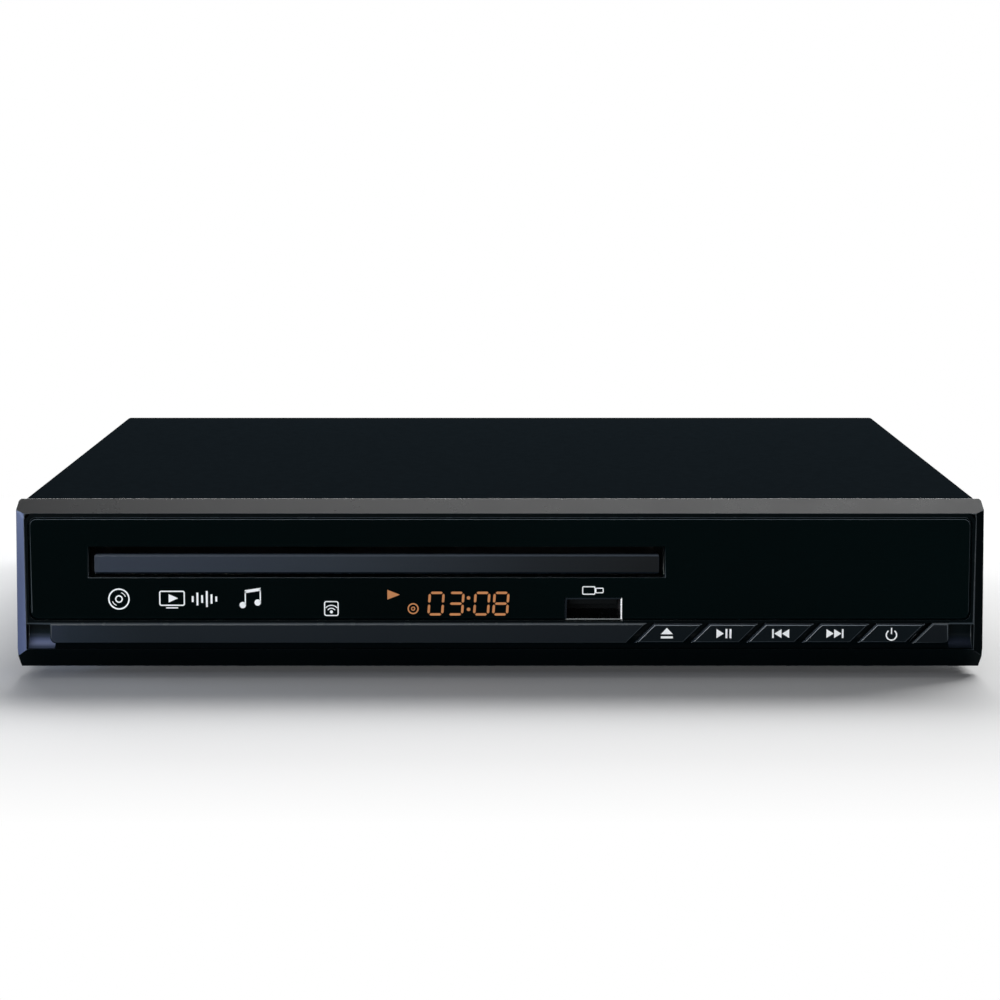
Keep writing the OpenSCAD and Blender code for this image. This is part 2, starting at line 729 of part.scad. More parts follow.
module base_screws() {
    color([0.6, 0.6, 0.62]) {
        for (at = loader_post)
            translate([at[0], at[1], base_z]) rotate([180, 0, 0]) screw(6);
        for (at = panel_screw_at)
            translate([at[0], at[1], base_z]) rotate([180, 0, 0]) screw(3);
    }
}

// ---------------------------------------------------------------- keys and front board

module key(i) {
    body_end = y_channel - key_back;
    color([0.06, 0.065, 0.08]) {
        hull() {
            along_y(y_front, y_front + key_c) key_2d(key_x + i * key_pitch, key_c);
            along_y(y_front + key_c, body_end) key_2d(key_x + i * key_pitch);
        }
        // Stem through the wall, with a catch behind it
        block([key_mid(i) - stem_w / 2, key_mid(i) + stem_w / 2], [body_end - 0.2, y_wall + 0.9],
              [stem_z - stem_h / 2, stem_z + stem_h / 2]);
        block([key_mid(i) - stem_w / 2 - 0.8, key_mid(i) + stem_w / 2 + 0.8], [y_wall + 0.1, y_wall + 0.9],
              [stem_z - stem_h / 2, stem_z + stem_h / 2]);
    }
}

module key_eject() {
    key(0);
}

module key_play() {
    key(1);
}

module key_previous() {
    key(2);
}

module key_next() {
    key(3);
}

module key_power() {
    key(4);
}

module front_board() {
    color([0.1, 0.25, 0.12]) difference() {
        block([front_board_x0, front_board_x1], [y_board, y_board_back], [front_board_z0, front_board_z1]);
        block([usb_x - usb_w / 2, usb_x + usb_w / 2], [y_board - 1, y_board + 3], [usb_z, usb_z + usb_h]);
        for (at = board_boss)
            rod_along_y([at[0], y_board - 1, at[1]], 4, screw_hole_r);
    }
    // Ribbon connector on the back
    color([0.85, 0.83, 0.76])
        block([ribbon_x0 - 1, ribbon_x1 + 1], [y_board_back, y_board_back + 2.6],
              [ribbon_z + 1.5, ribbon_z + 5]);
}

module front_board_screws() {
    color([0.6, 0.6, 0.62]) for (at = board_boss)
        translate([at[0], y_board_back, at[1]]) rotate([-90, 0, 0]) screw(4, 0.95, 2.1);
}

module display_module() {
    z0 = window_z0 + 0.4;
    z1 = front_board_z1 - 0.5;
    color([0.12, 0.12, 0.12]) difference() {
        block([display_x0, display_x1], [y_pocket + touch, y_board], [z0, z1]);
        // Four figures, each a well of seven segments
        for (x = [0:3])
            translate([figure_x + x * 4.6 + (x > 1 ? 1.4 : 0), y_pocket + touch - 0.5, figure_z])
                segment_wells();
    }
}

// Wells of one seven-segment figure, 0.4 mm deep
module segment_wells() {
    w = 3.2;
    h = 2.6;
    for (z = [-h, 0, h]) translate([-w / 2 + 0.4, 0, z - 0.25]) cube([w - 0.8, 0.9, 0.5]);
    for (x = [-w / 2, w / 2], z = [-h, 0]) translate([x - 0.25, 0, z + 0.45]) cube([0.5, 0.9, h - 0.9]);
}

// A receptacle shell with its tongue: width and height inside the sheet, mouth at y = 0
module usb_socket() {
    t = 0.4;
    x = usb_w / 2 - touch;
    y0 = y_window + 0.9;
    y1 = y0 + usb_len;
    z0 = usb_z + touch;
    z1 = usb_z + usb_h - touch;
    color([0.75, 0.75, 0.74]) {
        difference() {
            block([usb_x - x, usb_x + x], [y0, y1], [z0, z1]);
            block([usb_x - x + t, usb_x + x - t], [y0 - 1, y1 - t], [z0 + t, z1 - t]);
        }
        // Solder tabs that hold it to the board
        for (side = [0, 1]) translate([usb_x, 0, 0]) mirror([side, 0, 0])
            block([x - t, x + 1.6], [y_board_back, y_board_back + 0.5], [z0 + 0.8, z1 - 0.8]);
    }
    // Tongue with its contacts
    color([0.08, 0.08, 0.08])
        block([usb_x - 5.6, usb_x + 5.6], [y0 + 4.6, y1 - t / 2], [z1 - t - 1.9, z1 - t - 0.4]);
}

module ir_receiver() {
    color([0.05, 0.03, 0.04]) {
        block([ir_x - 2.5, ir_x + 2.5], [y_wall + 0.4, y_board], [ir_z - 3, ir_z + 3]);
        rod_along_y([ir_x, y_wall - 1.4, ir_z], 2, 2.3);
    }
}

module tact_switches() {
    color([0.3, 0.3, 0.31]) for (i = [0:4]) {
        block([key_mid(i) - 3, key_mid(i) + 3], [y_board - 1.4, y_board], [stem_z - 2.5, stem_z + 2.5]);
        rod_along_y([key_mid(i), y_wall + 0.9 + key_travel + touch, stem_z],
                    y_board - 1.2 - (y_wall + 0.9 + key_travel + touch), 1.2);
    }
}

module front_ribbon() {
    t = 0.3;
    y0 = y_board_back + 1;
    y1 = main_y0 - 0.6;
    color([0.8, 0.82, 0.85]) {
        block([ribbon_x0, ribbon_x1], [y0, y0 + t], [ribbon_z, ribbon_z + 1.5]);
        block([ribbon_x0, ribbon_x1], [y0, y1], [ribbon_z, ribbon_z + t]);
        block([ribbon_x0, ribbon_x1], [y1 - t, y1], [ribbon_z, board_top + 1.2]);
        block([ribbon_x0, ribbon_x1], [y1 - t, main_y0 + 1], [board_top + 0.9, board_top + 1.2]);
    }
}

// ---------------------------------------------------------------- tray

rack_first = floor((y_tray + 16 - gear_y) / (PI * gear_m));
rack_last = floor((tray_travel + 10) / (PI * gear_m));

module disc_tray() {
    r = disc_d / 2 + 0.6;
    small_r = 40.6;
    x0 = tray_x0;
    x1 = tray_x1;
    color([0.03, 0.03, 0.032]) difference() {
        union() {
            block([x0, x1], [y_tray, y_tray_end], [floor_z, tray_top]);
            // Ribs that run on the loader's rails
            block([x0, rack_root_x - 1], [y_tray + 4, y_tray_end], [tray_z, floor_z + 0.2]);
            block([x1 - 4, x1], [y_tray + 4, y_tray_end], [tray_z, floor_z + 0.2]);
            // Rack under the left side
            translate([rack_x, gear_y, tray_z]) linear_extrude(rib_h + 0.2)
                rack_2d(rack_first, rack_last, gear_m, rack_x - x0 - 2);
        }
        // Seat for a full size disc, with a deeper seat for a small disc inside it
        rod_along_z([slot_x, y_disc, ledge_z], 10, r);
        rod_along_z([slot_x, y_disc, ledge_z - 0.9], 10, small_r);
        // Four finger notches round the seat
        for (turn = [45:90:315])
            translate([slot_x, y_disc, 0]) rotate(turn) rod_along_z([r + 2.5, 0, ledge_z - 0.6], 10, 9);
        // Slot for the turntable and the pickup, open at the rear
        rod_along_z([slot_x, y_disc, tray_z - 1], 10, tray_slot_r);
        block([slot_x - tray_slot_r, slot_x + tray_slot_r], [y_disc, y_tray_end + 1],
              [tray_z - 1, tray_top + 1]);
        // The rear arms are thinner than the rim
        block([x0 + 5, x1 - 5], [y_disc + r + 4, y_tray_end - 3], [ledge_z, tray_top + 1]);
    }
}

module tray_door() {
    r = 0.6;
    z1 = door_z + door_h;
    color([0.07, 0.075, 0.09]) intersection() {
        along_x(slot_x - door_w / 2, slot_x + door_w / 2) union() {
            round_rect([y_door, y_tray + 2], [door_z, z1], r);
            translate([y_door + 1, door_z]) square([door_t - 1, door_h]);
        }
        along_y(y_door, y_tray) round_rect([slot_x - door_w / 2, slot_x + door_w / 2], [door_z, z1], r);
    }
}

// ---------------------------------------------------------------- loader

// One side wall of the loader with its rail and its hold-down hooks, seen from the left
module guide_wall(x_in, side) {
    mirror_x = side ? 1 : 0;
    translate([x_in, 0, 0]) mirror([mirror_x, 0, 0]) {
        block([-guide_t, 0], [y_loader, y_loader_end], [deck_z, guide_top]);
        block([-guide_t, 2.4], [y_loader, y_loader_end], [rail_top - 1.4, rail_top]);
        for (y = [y_loader + 2, y_disc - 26, y_disc + 30, y_loader_end - 14])
            block([-guide_t, 1.6], [y, y + 9], [tray_top + 0.4, guide_top]);
    }
}

cam_wall_y = y_cam - cam_t - slide_gap;          // face that the cam slider runs on
hinge_x = [trav_x0 - 4.2, trav_x1 + 4.2];        // outer ends of the hinge pins

module loader_frame() {
    color([0.12, 0.12, 0.125]) difference() {
        union() {
            guide_wall(guide_x0, false);
            guide_wall(guide_x1, true);
            // Deck: front bay, two side strips and the rear strip
            block([side_x0, side_x1], [y_loader, cam_wall_y], [deck_z, deck_top]);
            for (x = [[side_x0, trav_x0 - 4.6], [trav_x1 + 4.6, side_x1]])
                block(x, [y_cam + 0.8, y_loader_end], [deck_z, deck_top]);
            for (x = [[side_x0, cam_x0 - 1], [cam_x1 + cam_travel + 1, side_x1]])
                block(x, [cam_wall_y - 1, y_cam + 1], [deck_z, deck_top]);
            block([side_x0, side_x1], [y_trav_end + 0.6, y_loader_end], [deck_z, deck_top]);
            // Wall that guides the cam slider, with two feet under the slider
            block([trav_x0 - 8, trav_x1 + 8], [cam_wall_y - 1.6, cam_wall_y], [cam_z0 - 1.4, deck_top + 5]);
            for (x = [slot_x - 24, slot_x + 18])
                block([x, x + 6], [cam_wall_y - 1, y_cam + 0.6], [cam_z0 - 1.4, cam_z0 - touch]);
            // Bearing ears for the traverse's hinge
            for (x = [trav_x0 - 6, trav_x1 + 1.2])
                block([x, x + 4.8], [hinge_y - 4.4, y_loader_end], [hinge_z - 4.4, hinge_z + 4.4]);
            // Posts that stand on the base
            for (at = loader_post)
                rod_along_z([at[0], at[1], base_top], deck_z - base_top + 0.2, 4);
            // Posts for the loading gears
            rod_along_z([drive_x, gear_y, deck_top - 0.2], tray_z + 1 - deck_top + 0.2, gear_post_r);
            rod_along_z([pulley_x, gear_y, deck_top - 0.2], drive_z + gear_t - deck_top + 0.2, gear_post_r);
            rod_along_z([drive_x, gear_y, deck_top - 0.2], drive_z - touch - deck_top + 0.2, 3);
            rod_along_z([pulley_x, gear_y, deck_top - 0.2], belt_z - touch - deck_top + 0.2, 3);
        }
        // Hinge bores
        rod_along_x([hinge_x[0] - 0.6, hinge_y, hinge_z], hinge_x[1] - hinge_x[0] + 1.2, hinge_r + run_gap);
        // Hole for the motor's boss and the screws from below
        rod_along_z([motor_x, gear_y, deck_z - 1], 4, 3.2);
        for (at = loader_post) rod_along_z([at[0], at[1], base_top - 1], 7, 1.5);
        // Openings that lighten the side walls
        for (y = [y_disc - 12, y_disc + 28, y_disc + 68])
            block([side_x0 - 1, side_x1 + 1], [y, y + 22], [deck_top + 2, rail_top - 3]);
    }
}

clamp_z = guide_top;                             // underside of the bridge
clamper_r = 12;

module clamper_bridge() {
    color([0.5, 0.51, 0.52]) difference() {
        union() {
            block([side_x0, side_x1], [y_disc - bridge_w / 2, y_disc + bridge_w / 2],
                  [clamp_z, clamp_z + bridge_t]);
            rod_along_z([slot_x, y_disc, clamp_z], bridge_t, 21);
        }
        rod_along_z([slot_x, y_disc, clamp_z - 1], 5, clamper_r + 1);
        // Lightening slots
        for (x = [slot_x - 44, slot_x + 44])
            translate([x, y_disc, clamp_z - 1]) linear_extrude(5) slot_2d([-8, 0], [8, 0], 4);
    }
}

module clamper() {
    z0 = disc_z + 1.35;
    zf = clamp_z + bridge_t + touch;
    color([0.85, 0.85, 0.83]) translate([slot_x, y_disc, 0]) rotate_extrude()
        polygon([[8.6, z0], [clamper_r, z0], [clamper_r, zf], [15.5, zf], [15.5, zf + 1.2],
                 [10.6, zf + 1.2], [10.6, zf - 0.2], [0, zf - 0.2], [0, z0 + 1.8], [8.6, z0 + 1.8]]);
}

module clamper_yoke() {
    zf = clamp_z + bridge_t + touch;
    color([0.62, 0.63, 0.65]) rod_along_z([slot_x, y_disc, zf - 0.2], 1.2, 10.5);
}

motor_r = 11;
motor_h = 9.6;

module loading_motor() {
    color([0.7, 0.71, 0.73]) {
        rod_along_z([motor_x, gear_y, deck_z - motor_h], motor_h, motor_r);
        rod_along_z([motor_x, gear_y, deck_z - 0.2], 1.4, 3);
        rod_along_z([motor_x, gear_y, deck_z], belt_z + belt_h - deck_z, 1);
    }
}

// Section of a belt pulley: a square groove between two flanges
module pulley_section(r, bore) {
    g = (belt_h - belt_t) / 2 - touch;
    polygon([[bore, 0], [r + 0.8, 0], [r + 0.8, g], [r - 0.4, g], [r - 0.4, belt_h - g],
             [r + 0.8, belt_h - g], [r + 0.8, belt_h], [bore, belt_h]]);
}

module motor_pulley() {
    color([0.9, 0.9, 0.88]) translate([motor_x, gear_y, belt_z])
        rotate_extrude() pulley_section(motor_pulley_r, 1 + run_gap);
}

module drive_belt() {
    a = asin((pulley_r - motor_pulley_r) / belt_span);
    z = belt_z + (belt_h - belt_t) / 2;
    r0 = pulley_r - 0.4 + run_gap;
    r1 = motor_pulley_r - 0.4 + run_gap;
    color([0.04, 0.04, 0.04]) translate([pulley_x, gear_y, z]) linear_extrude(belt_t) difference() {
        belt_outline(r0 + belt_t, r1 + belt_t, a);
        belt_outline(r0, r1, a);
    }
}

// Outline round two circles: the second lies belt_span along +X
module belt_outline(r0, r1, a) {
    circle(r = r0);
    translate([belt_span, 0]) circle(r = r1);
    polygon([r0 * [sin(a), cos(a)], [belt_span, 0] + r1 * [sin(a), cos(a)],
             [belt_span, 0] + r1 * [sin(a), -cos(a)], r0 * [sin(a), -cos(a)]]);
}

module pulley_gear() {
    bore = gear_post_r + run_gap;
    color([0.9, 0.9, 0.88]) translate([pulley_x, gear_y, 0]) difference() {
        union() {
            translate([0, 0, belt_z]) rotate_extrude() pulley_section(pulley_r, bore);
            rod_along_z([0, 0, belt_z + 1], drive_z - belt_z, 4);
            translate([0, 0, drive_z]) rotate(180 / pulley_n) gear(pulley_n, gear_m, gear_t);
        }
        rod_along_z([0, 0, belt_z - 1], 20, bore);
    }
}

module drive_gear() {
    color([0.9, 0.9, 0.88]) translate([drive_x, gear_y, 0]) difference() {
        union() {
            translate([0, 0, drive_z]) gear(drive_n, gear_m, gear_t);
            rod_along_z([0, 0, drive_z + gear_t - 0.2], tray_z - drive_z - gear_t + 0.4, 5.5);
            translate([0, 0, tray_z]) gear(rack_pinion_n, gear_m, rib_h - 0.3);
        }
        rod_along_z([0, 0, drive_z - 1], 20, gear_post_r + run_gap);
    }
}

cam_z0 = cam_pin_z - cam_drop - 3.2;
cam_z1 = cam_pin_z + 4;
cam_x0 = slot_x - cam_pin_x - cam_travel - 4;
cam_x1 = slot_x + cam_pin_x + 6;

module cam_slider() {
    color([0.85, 0.85, 0.8]) difference() {
        union() {
            block([cam_x0, cam_x1], [y_cam - cam_t, y_cam], [cam_z0, cam_z1]);
            // Lip that stiffens the lower edge
            block([cam_x0, cam_x1], [y_cam - cam_t, y_cam + 0.5], [cam_z0, cam_z0 + 1.4]);
        }
        for (side = [-1, 1]) along_y(y_cam - cam_t - 1, y_cam + 1)
            slot_2d([slot_x + side * cam_pin_x, cam_pin_z],
                    [slot_x + side * cam_pin_x - cam_travel, cam_pin_z - cam_drop], cam_pin_r + 0.2);
    }
}

// ---------------------------------------------------------------- traverse

module traverse_frame() {
    hole_x = sled_half + 0.4;
    hole_y1 = sled_y1 + sled_travel + 1;
    pin_len = y_trav - y_cam + cam_t + 1;
    color([0.14, 0.14, 0.145]) difference() {
        union() {
            block([trav_x0, trav_x1], [y_trav, y_trav_end], [plate_z, plate_top]);
            // Hinge pins and the blocks that carry them
            for (x = [[trav_x0, trav_x0 + 6], [trav_x1 - 6, trav_x1]])
                block(x, [hinge_y - 4, y_trav_end], [plate_z, plate_top + 1]);
            rod_along_x([hinge_x[0], hinge_y, hinge_z], hinge_x[1] - hinge_x[0], hinge_r);
            // Front pins that run in the cam slider
            for (side = [-1, 1])
                rod_along_y([slot_x + side * cam_pin_x, y_cam - cam_t, cam_pin_z], pin_len, cam_pin_r);
            // Seats for the guide rods
            for (side = [-1, 1], y = [rod_y0, rod_y1 - seat_t])
                block([slot_x + side * rod_x - seat_half, slot_x + side * rod_x + seat_half],
                      [y, y + seat_t], [plate_top - 0.2, rod_z + rod_r + 0.8]);
            // Post for the sled gear
            rod_along_z([sled_gear_x, sled_gear_y, plate_top - 0.2], 5, 1);
        }
        // Window that the pickup travels in
        block([slot_x - hole_x, slot_x + hole_x], [sled_y0 - 1, hole_y1], [plate_z - 1, plate_top]);
        // Boss of the spindle motor
        rod_along_z([slot_x, y_disc, plate_z - 1], 6, 4.6);
        // Bores for the rods
        for (side = [-1, 1])
            rod_along_y([slot_x + side * rod_x, rod_y0 - 1, rod_z], rod_y1 - rod_y0 + 2, rod_r);
        // Seat of the sled motor's boss
        rod_along_z([sled_gear_x, sled_motor_y, plate_z - 1], 6, 2.6);
        // Lightening pocket at the left side
        block([trav_x0 + 3, slot_x - rod_x - 5], [y_disc + 4, hinge_y - 10], [plate_z - 1, plate_z + 1.4]);
    }
}

module guide_rod(side) {
    color([0.78, 0.79, 0.8])
        rod_along_y([slot_x + side * rod_x, rod_y0, rod_z], rod_y1 - rod_y0, rod_r);
}

module guide_rod_left() {
    guide_rod(-1);
}

module guide_rod_right() {
    guide_rod(1);
}

spindle_h = disc_z - 4.6 - plate_top;            // height of the spindle motor's can

module spindle_motor() {
    color([0.72, 0.73, 0.75]) translate([slot_x, y_disc, 0]) {
        rod_along_z([0, 0, plate_top], spindle_h, 11.8);
        rod_along_z([0, 0, plate_z + 0.6], plate_t, 4.5);
        rod_along_z([0, 0, plate_top], disc_z - plate_top, 0.9);
    }
}

module turntable() {
    z0 = plate_top + spindle_h + 0.4;
    bore = 0.9 + run_gap / 2;
    color([0.1, 0.1, 0.1]) translate([slot_x, y_disc, 0]) rotate_extrude()
        polygon([[bore, z0], [4, z0], [4, disc_z - 1.6], [table_r, disc_z - 1.2], [table_r, disc_z],
                 [7.4, disc_z], [7.3, disc_z + 1], [5.6, disc_z + 2.2], [bore, disc_z + 2.2]]);
}

sled_z0 = plate_z - 1.6;
sled_z1 = rod_z + 2.8;

module pickup_sled() {
    bore = rod_r + run_gap;
    actuator_z = floor_z - 0.9;
    color([0.3, 0.3, 0.32]) difference() {
        union() {
            block([slot_x - sled_half, slot_x + sled_half], [sled_y0, sled_y1], [sled_z0, sled_z1]);
            // Bearings on the rods
            for (side = [-1, 1])
                block([slot_x + side * rod_x - bearing_half, slot_x + side * rod_x + bearing_half],
                      [sled_y0 + 3, sled_y1], [plate_top + slide_gap, sled_z1]);
            // Cover of the lens actuator
            block([slot_x - 9, slot_x + 9], [y_lens - 8, y_lens + 10], [sled_z1 - 0.2, actuator_z]);
            // Rack at the right-hand side
            translate([sled_rack_x, sled_gear_y, rack_z]) linear_extrude(1.6)
                rack_2d(-20, 4, sled_m, sled_rack_x - slot_x - rod_x - bearing_half + 0.1);
        }
        for (side = [-1, 1])
            rod_along_y([slot_x + side * rod_x, sled_y0 - 1, rod_z], sled_y1 - sled_y0 + 2, bore);
        // Well that the lens holder floats in
        rod_along_z([slot_x, y_lens, sled_z1 - 2.4], 10, 5);
        // Round cut in front, clear of the spindle motor
        rod_along_z([slot_x, y_disc, sled_z0 - 1], 20, 13.2);
    }
}

rack_z = sled_gear_z + sled_gear_t + 0.5;        // underside of the pickup's rack

module lens_holder() {
    lens_top = disc_z - 1.7;
    color([0.15, 0.16, 0.2]) translate([slot_x, y_lens, 0]) {
        rod_along_z([0, 0, sled_z1 - 1.8], lens_top - 0.8 - sled_z1 + 1.8, 4.2);
        translate([0, 0, lens_top - 0.9]) rotate_extrude()
            polygon([[0, 0], [2.6, 0], [2.6, 0.3], [2, 0.7], [1.2, 0.88], [0, 0.9]]);
    }
}

module sled_motor() {
    color([0.7, 0.71, 0.73]) translate([sled_gear_x, sled_motor_y, 0]) {
        rod_along_z([0, 0, plate_z - 6.4], 6.4, 8);
        rod_along_z([0, 0, plate_z - 0.2], plate_t, 2.4);
        rod_along_z([0, 0, plate_z], sled_gear_z + sled_gear_t - plate_z, 0.6);
    }
}

module sled_pinion() {
    color([0.9, 0.9, 0.88]) translate([sled_gear_x, sled_motor_y, sled_gear_z]) difference() {
        rotate(-90 + 180 / sled_pinion_n) gear(sled_pinion_n, sled_m, sled_gear_t);
        translate([0, 0, -1]) cylinder(h = 5, r = 0.6 + run_gap / 2);
    }
}

module sled_gear() {
    color([0.9, 0.9, 0.88]) translate([sled_gear_x, sled_gear_y, sled_gear_z]) difference() {
        union() {
            rotate(90) gear(sled_large_n, sled_m, sled_gear_t);
            translate([0, 0, sled_gear_t]) cylinder(h = 0.5, r = 3);
            translate([0, 0, sled_gear_t + 0.5]) gear(sled_small_n, sled_m, 1.6);
        }
        translate([0, 0, -1]) cylinder(h = 8, r = 1 + run_gap);
    }
}

// ---------------------------------------------------------------- boards and sockets

module main_board() {
    color([0.1, 0.25, 0.12]) difference() {
        block([main_x0, main_x1], [main_y0, y_back - touch], [board_z, board_top]);
        for (at = main_post) rod_along_z([at[0], at[1], board_z - 1], 4, screw_hole_r);
    }
}

// Chips, capacitors and the ribbon connector on the main board
module main_board_parts() {
    z = board_top;
    color([0.05, 0.05, 0.055]) {
        block([slot_x - 10, slot_x + 6], [main_y0 + 1, main_y0 + 9], [z, z + 1.4]);
        block([slot_x + 12, slot_x + 22], [main_y0 + 2, main_y0 + 8], [z, z + 1.1]);
        block([slot_x - 26, slot_x - 16], [main_y0 + 1, main_y0 + 6], [z, z + 1.1]);
    }
    color([0.15, 0.16, 0.3]) for (x = [slot_x + 28, slot_x + 36, slot_x + 44])
        rod_along_z([x, main_y0 + 4, z], 7, 2.5);
    color([0.85, 0.83, 0.76])
        block([ribbon_x0 - 1, ribbon_x1 + 1], [main_y0 + 1, main_y0 + 5], [z, z + 2.4]);
}

module power_board() {
    color([0.45, 0.33, 0.18]) difference() {
        block([power_x0, power_x1], [power_y0, y_back - touch], [board_z, board_top]);
        for (at = power_post) rod_along_z([at[0], at[1], board_z - 1], 4, screw_hole_r);
    }
}

// Capacitors, fuse, rectifier and heat sink on the power board
module power_board_parts() {
    z = board_top;
    color([0.08, 0.08, 0.1]) {
        rod_along_z([power_x1 - 10, power_y0 + 58, z], 20, 8);
        for (i = [0:2]) rod_along_z([power_x0 + 9 + i * 11, power_y0 + 14, z], 12, 4);
    }
    color([0.75, 0.72, 0.4])
        block([power_x0 + 10, power_x0 + 19], [power_y0 + 56, power_y0 + 68], [z, z + 11]);
    color([0.7, 0.71, 0.72]) {
        block([power_x0 + 4, power_x0 + 6], [power_y0 + 28, power_y0 + 54], [z, z + 20]);
        for (y = [power_y0 + 29 : 5.5 : power_y0 + 52])
            block([power_x0 + 5.8, power_x0 + 11], [y, y + 1.2], [z, z + 20]);
    }
}

module power_transformer() {
    x = (power_x0 + power_x1 + 11) / 2;
    y = power_y0 + 36;
    z = board_top;
    color([0.2, 0.2, 0.2]) {
        difference() {
            block([x - 10, x + 10], [y - 9, y + 9], [z + 2, z + 17]);
            block([x - 7, x + 7], [y - 10, y + 10], [z + 5, z + 14]);
        }
        block([x - 10, x + 10], [y - 8, y + 8], [z, z + 2.2]);
    }
    color([0.85, 0.7, 0.2]) block([x - 6.6, x + 6.6], [y - 11, y + 11], [z + 5.4, z + 13.6]);
    color([0.2, 0.2, 0.2]) block([x - 3, x + 3], [y - 4, y + 4], [z + 4, z + 15]);
}

module board_screws() {
    color([0.6, 0.6, 0.62]) for (at = concat(main_post, power_post))
        translate([at[0], at[1], board_top]) screw(4.4, 1.1, 2.4);
}

module hdmi_socket() {
    x = 7.5;
    z0 = board_top;
    z1 = z0 + 6;
    t = 0.4;
    y1 = y_back_in + 0.4;
    y0 = y1 - 12;
    color([0.72, 0.7, 0.6]) difference() {
        along_y(y0, y1) polygon([[hdmi_x - x, z1], [hdmi_x + x, z1], [hdmi_x + x, z0 + 2],
                                 [hdmi_x + x - 2, z0], [hdmi_x - x + 2, z0], [hdmi_x - x, z0 + 2]]);
        along_y(y0 + 2, y1 + 1) polygon([[hdmi_x - x + t, z1 - t], [hdmi_x + x - t, z1 - t],
                                 [hdmi_x + x - t, z0 + 2 + t / 2], [hdmi_x + x - 2 - t / 2, z0 + t],
                                 [hdmi_x - x + 2 + t / 2, z0 + t], [hdmi_x - x + t, z0 + 2 + t / 2]]);
    }
    color([0.05, 0.05, 0.05])
        block([hdmi_x - 5.5, hdmi_x + 5.5], [y0 + 1.8, y1 - 1.4], [z0 + 2.9, z0 + 4]);
}

module scart_socket() {
    w = 23.5;
    z0 = board_top;
    z1 = z0 + 13;
    y1 = y_back_in + 1;
    y0 = y1 - 14;
    color([0.04, 0.04, 0.045]) difference() {
        along_y(y0, y1) polygon([[scart_x - w, z0], [scart_x + w, z0], [scart_x + w, z1],
                                 [scart_x - w + 3, z1], [scart_x - w, z1 - 3]]);
        // Groove for the plug's shroud, round the block that holds the contacts
        difference() {
            block([scart_x - w + 1, scart_x + w - 1], [y1 - 9, y1 + 1], [z0 + 1.2, z1 - 1.2]);
            block([scart_x - w + 3, scart_x + w - 3], [y1 - 10, y1 - 0.6], [z0 + 2.8, z1 - 2.8]);
        }
        // Two rows of ten contact slots
        for (i = [0:9], row = [0, 1])
            block([scart_x - 17.6 + i * 3.8 + row * 1.4, scart_x - 16.4 + i * 3.8 + row * 1.4],
                  [y1 - 5, y1], [z0 + 4 + row * 3, z0 + 5.6 + row * 3]);
    }
}

module coax_socket() {
    y0 = y_back - 7;
    y1 = y_front + case_d + jack_proud;
    color([0.9, 0.45, 0.1]) difference() {
        union() {
            block([coax_x - 5, coax_x + 5], [y0, y_back - 0.3], [board_top, coax_z + 5.4]);
            rod_along_y([coax_x, y_back - 1, coax_z], 2.6, 4.4);
        }
        rod_along_y([coax_x, y0 + 1, coax_z], 12, 1.6);
    }
    color([0.8, 0.8, 0.78]) difference() {
        rod_along_y([coax_x, y_back + 1.6, coax_z], y1 - y_back - 1.6, 4.15);
        rod_along_y([coax_x, y_back + 1, coax_z], 12, 1.6);
    }
}

module mains_inlet() {
    x = 10.5;
    z0 = board_top;
    z1 = z0 + 13;
    zm = (z0 + z1) / 2;
    y1 = y_back_in + 0.6;
    y0 = y1 - 17;
    color([0.035, 0.035, 0.04]) difference() {
        block([inlet_x - x, inlet_x + x], [y0, y1], [z0, z1]);
        // Figure-of-eight well
        along_y(y1 - 13, y1 + 1) {
            for (side = [-1, 1]) translate([inlet_x + side * 4.3, zm]) circle(r = 4.2);
            translate([inlet_x - 4.3, zm - 3.4]) square([8.6, 6.8]);
        }
    }
    color([0.8, 0.8, 0.78]) for (side = [-1, 1])
        rod_along_y([inlet_x + side * 4.3, y1 - 13.2, zm], 10.2, 1.2);
}

// ---------------------------------------------------------------- every node

front_panel();
fascia_window();
top_cover();
base_pan();
rear_panel();
foot_front_left();
foot_front_right();
foot_rear_left();
foot_rear_right();
cover_screws();
base_screws();
key_eject();
key_play();
key_previous();
key_next();
key_power();
front_board();
front_board_screws();
display_module();
usb_socket();
ir_receiver();
tact_switches();
disc_tray();
tray_door();
loader_frame();
clamper_bridge();
clamper();
clamper_yoke();
loading_motor();
motor_pulley();
drive_belt();
pulley_gear();
drive_gear();
cam_slider();
traverse_frame();
guide_rod_left();
guide_rod_right();
spindle_motor();
turntable();
pickup_sled();
lens_holder();
sled_motor();
sled_pinion();
sled_gear();
main_board();
main_board_parts();
power_board();
power_board_parts();
power_transformer();
board_screws();
front_ribbon();
hdmi_socket();
scart_socket();
coax_socket();
mains_inlet();
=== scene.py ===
"""Looks of a compact disc player with a motorised tray: finishes, marks, lit figures, studio."""

import math

import bmesh
import bpy
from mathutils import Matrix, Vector


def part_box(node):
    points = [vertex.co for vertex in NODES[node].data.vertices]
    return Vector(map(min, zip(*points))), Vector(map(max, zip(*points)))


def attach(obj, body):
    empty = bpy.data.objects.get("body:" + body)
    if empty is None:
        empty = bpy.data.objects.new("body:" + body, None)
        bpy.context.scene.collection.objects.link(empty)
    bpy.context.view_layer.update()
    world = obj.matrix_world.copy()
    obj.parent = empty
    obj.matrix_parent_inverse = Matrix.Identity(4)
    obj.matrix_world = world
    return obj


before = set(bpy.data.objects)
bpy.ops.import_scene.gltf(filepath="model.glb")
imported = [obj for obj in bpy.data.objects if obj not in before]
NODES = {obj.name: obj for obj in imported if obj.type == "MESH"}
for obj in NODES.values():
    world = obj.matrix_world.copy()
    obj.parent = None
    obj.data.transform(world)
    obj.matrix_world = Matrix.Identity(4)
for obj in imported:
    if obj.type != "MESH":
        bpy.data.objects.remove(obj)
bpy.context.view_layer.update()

MM = 0.001


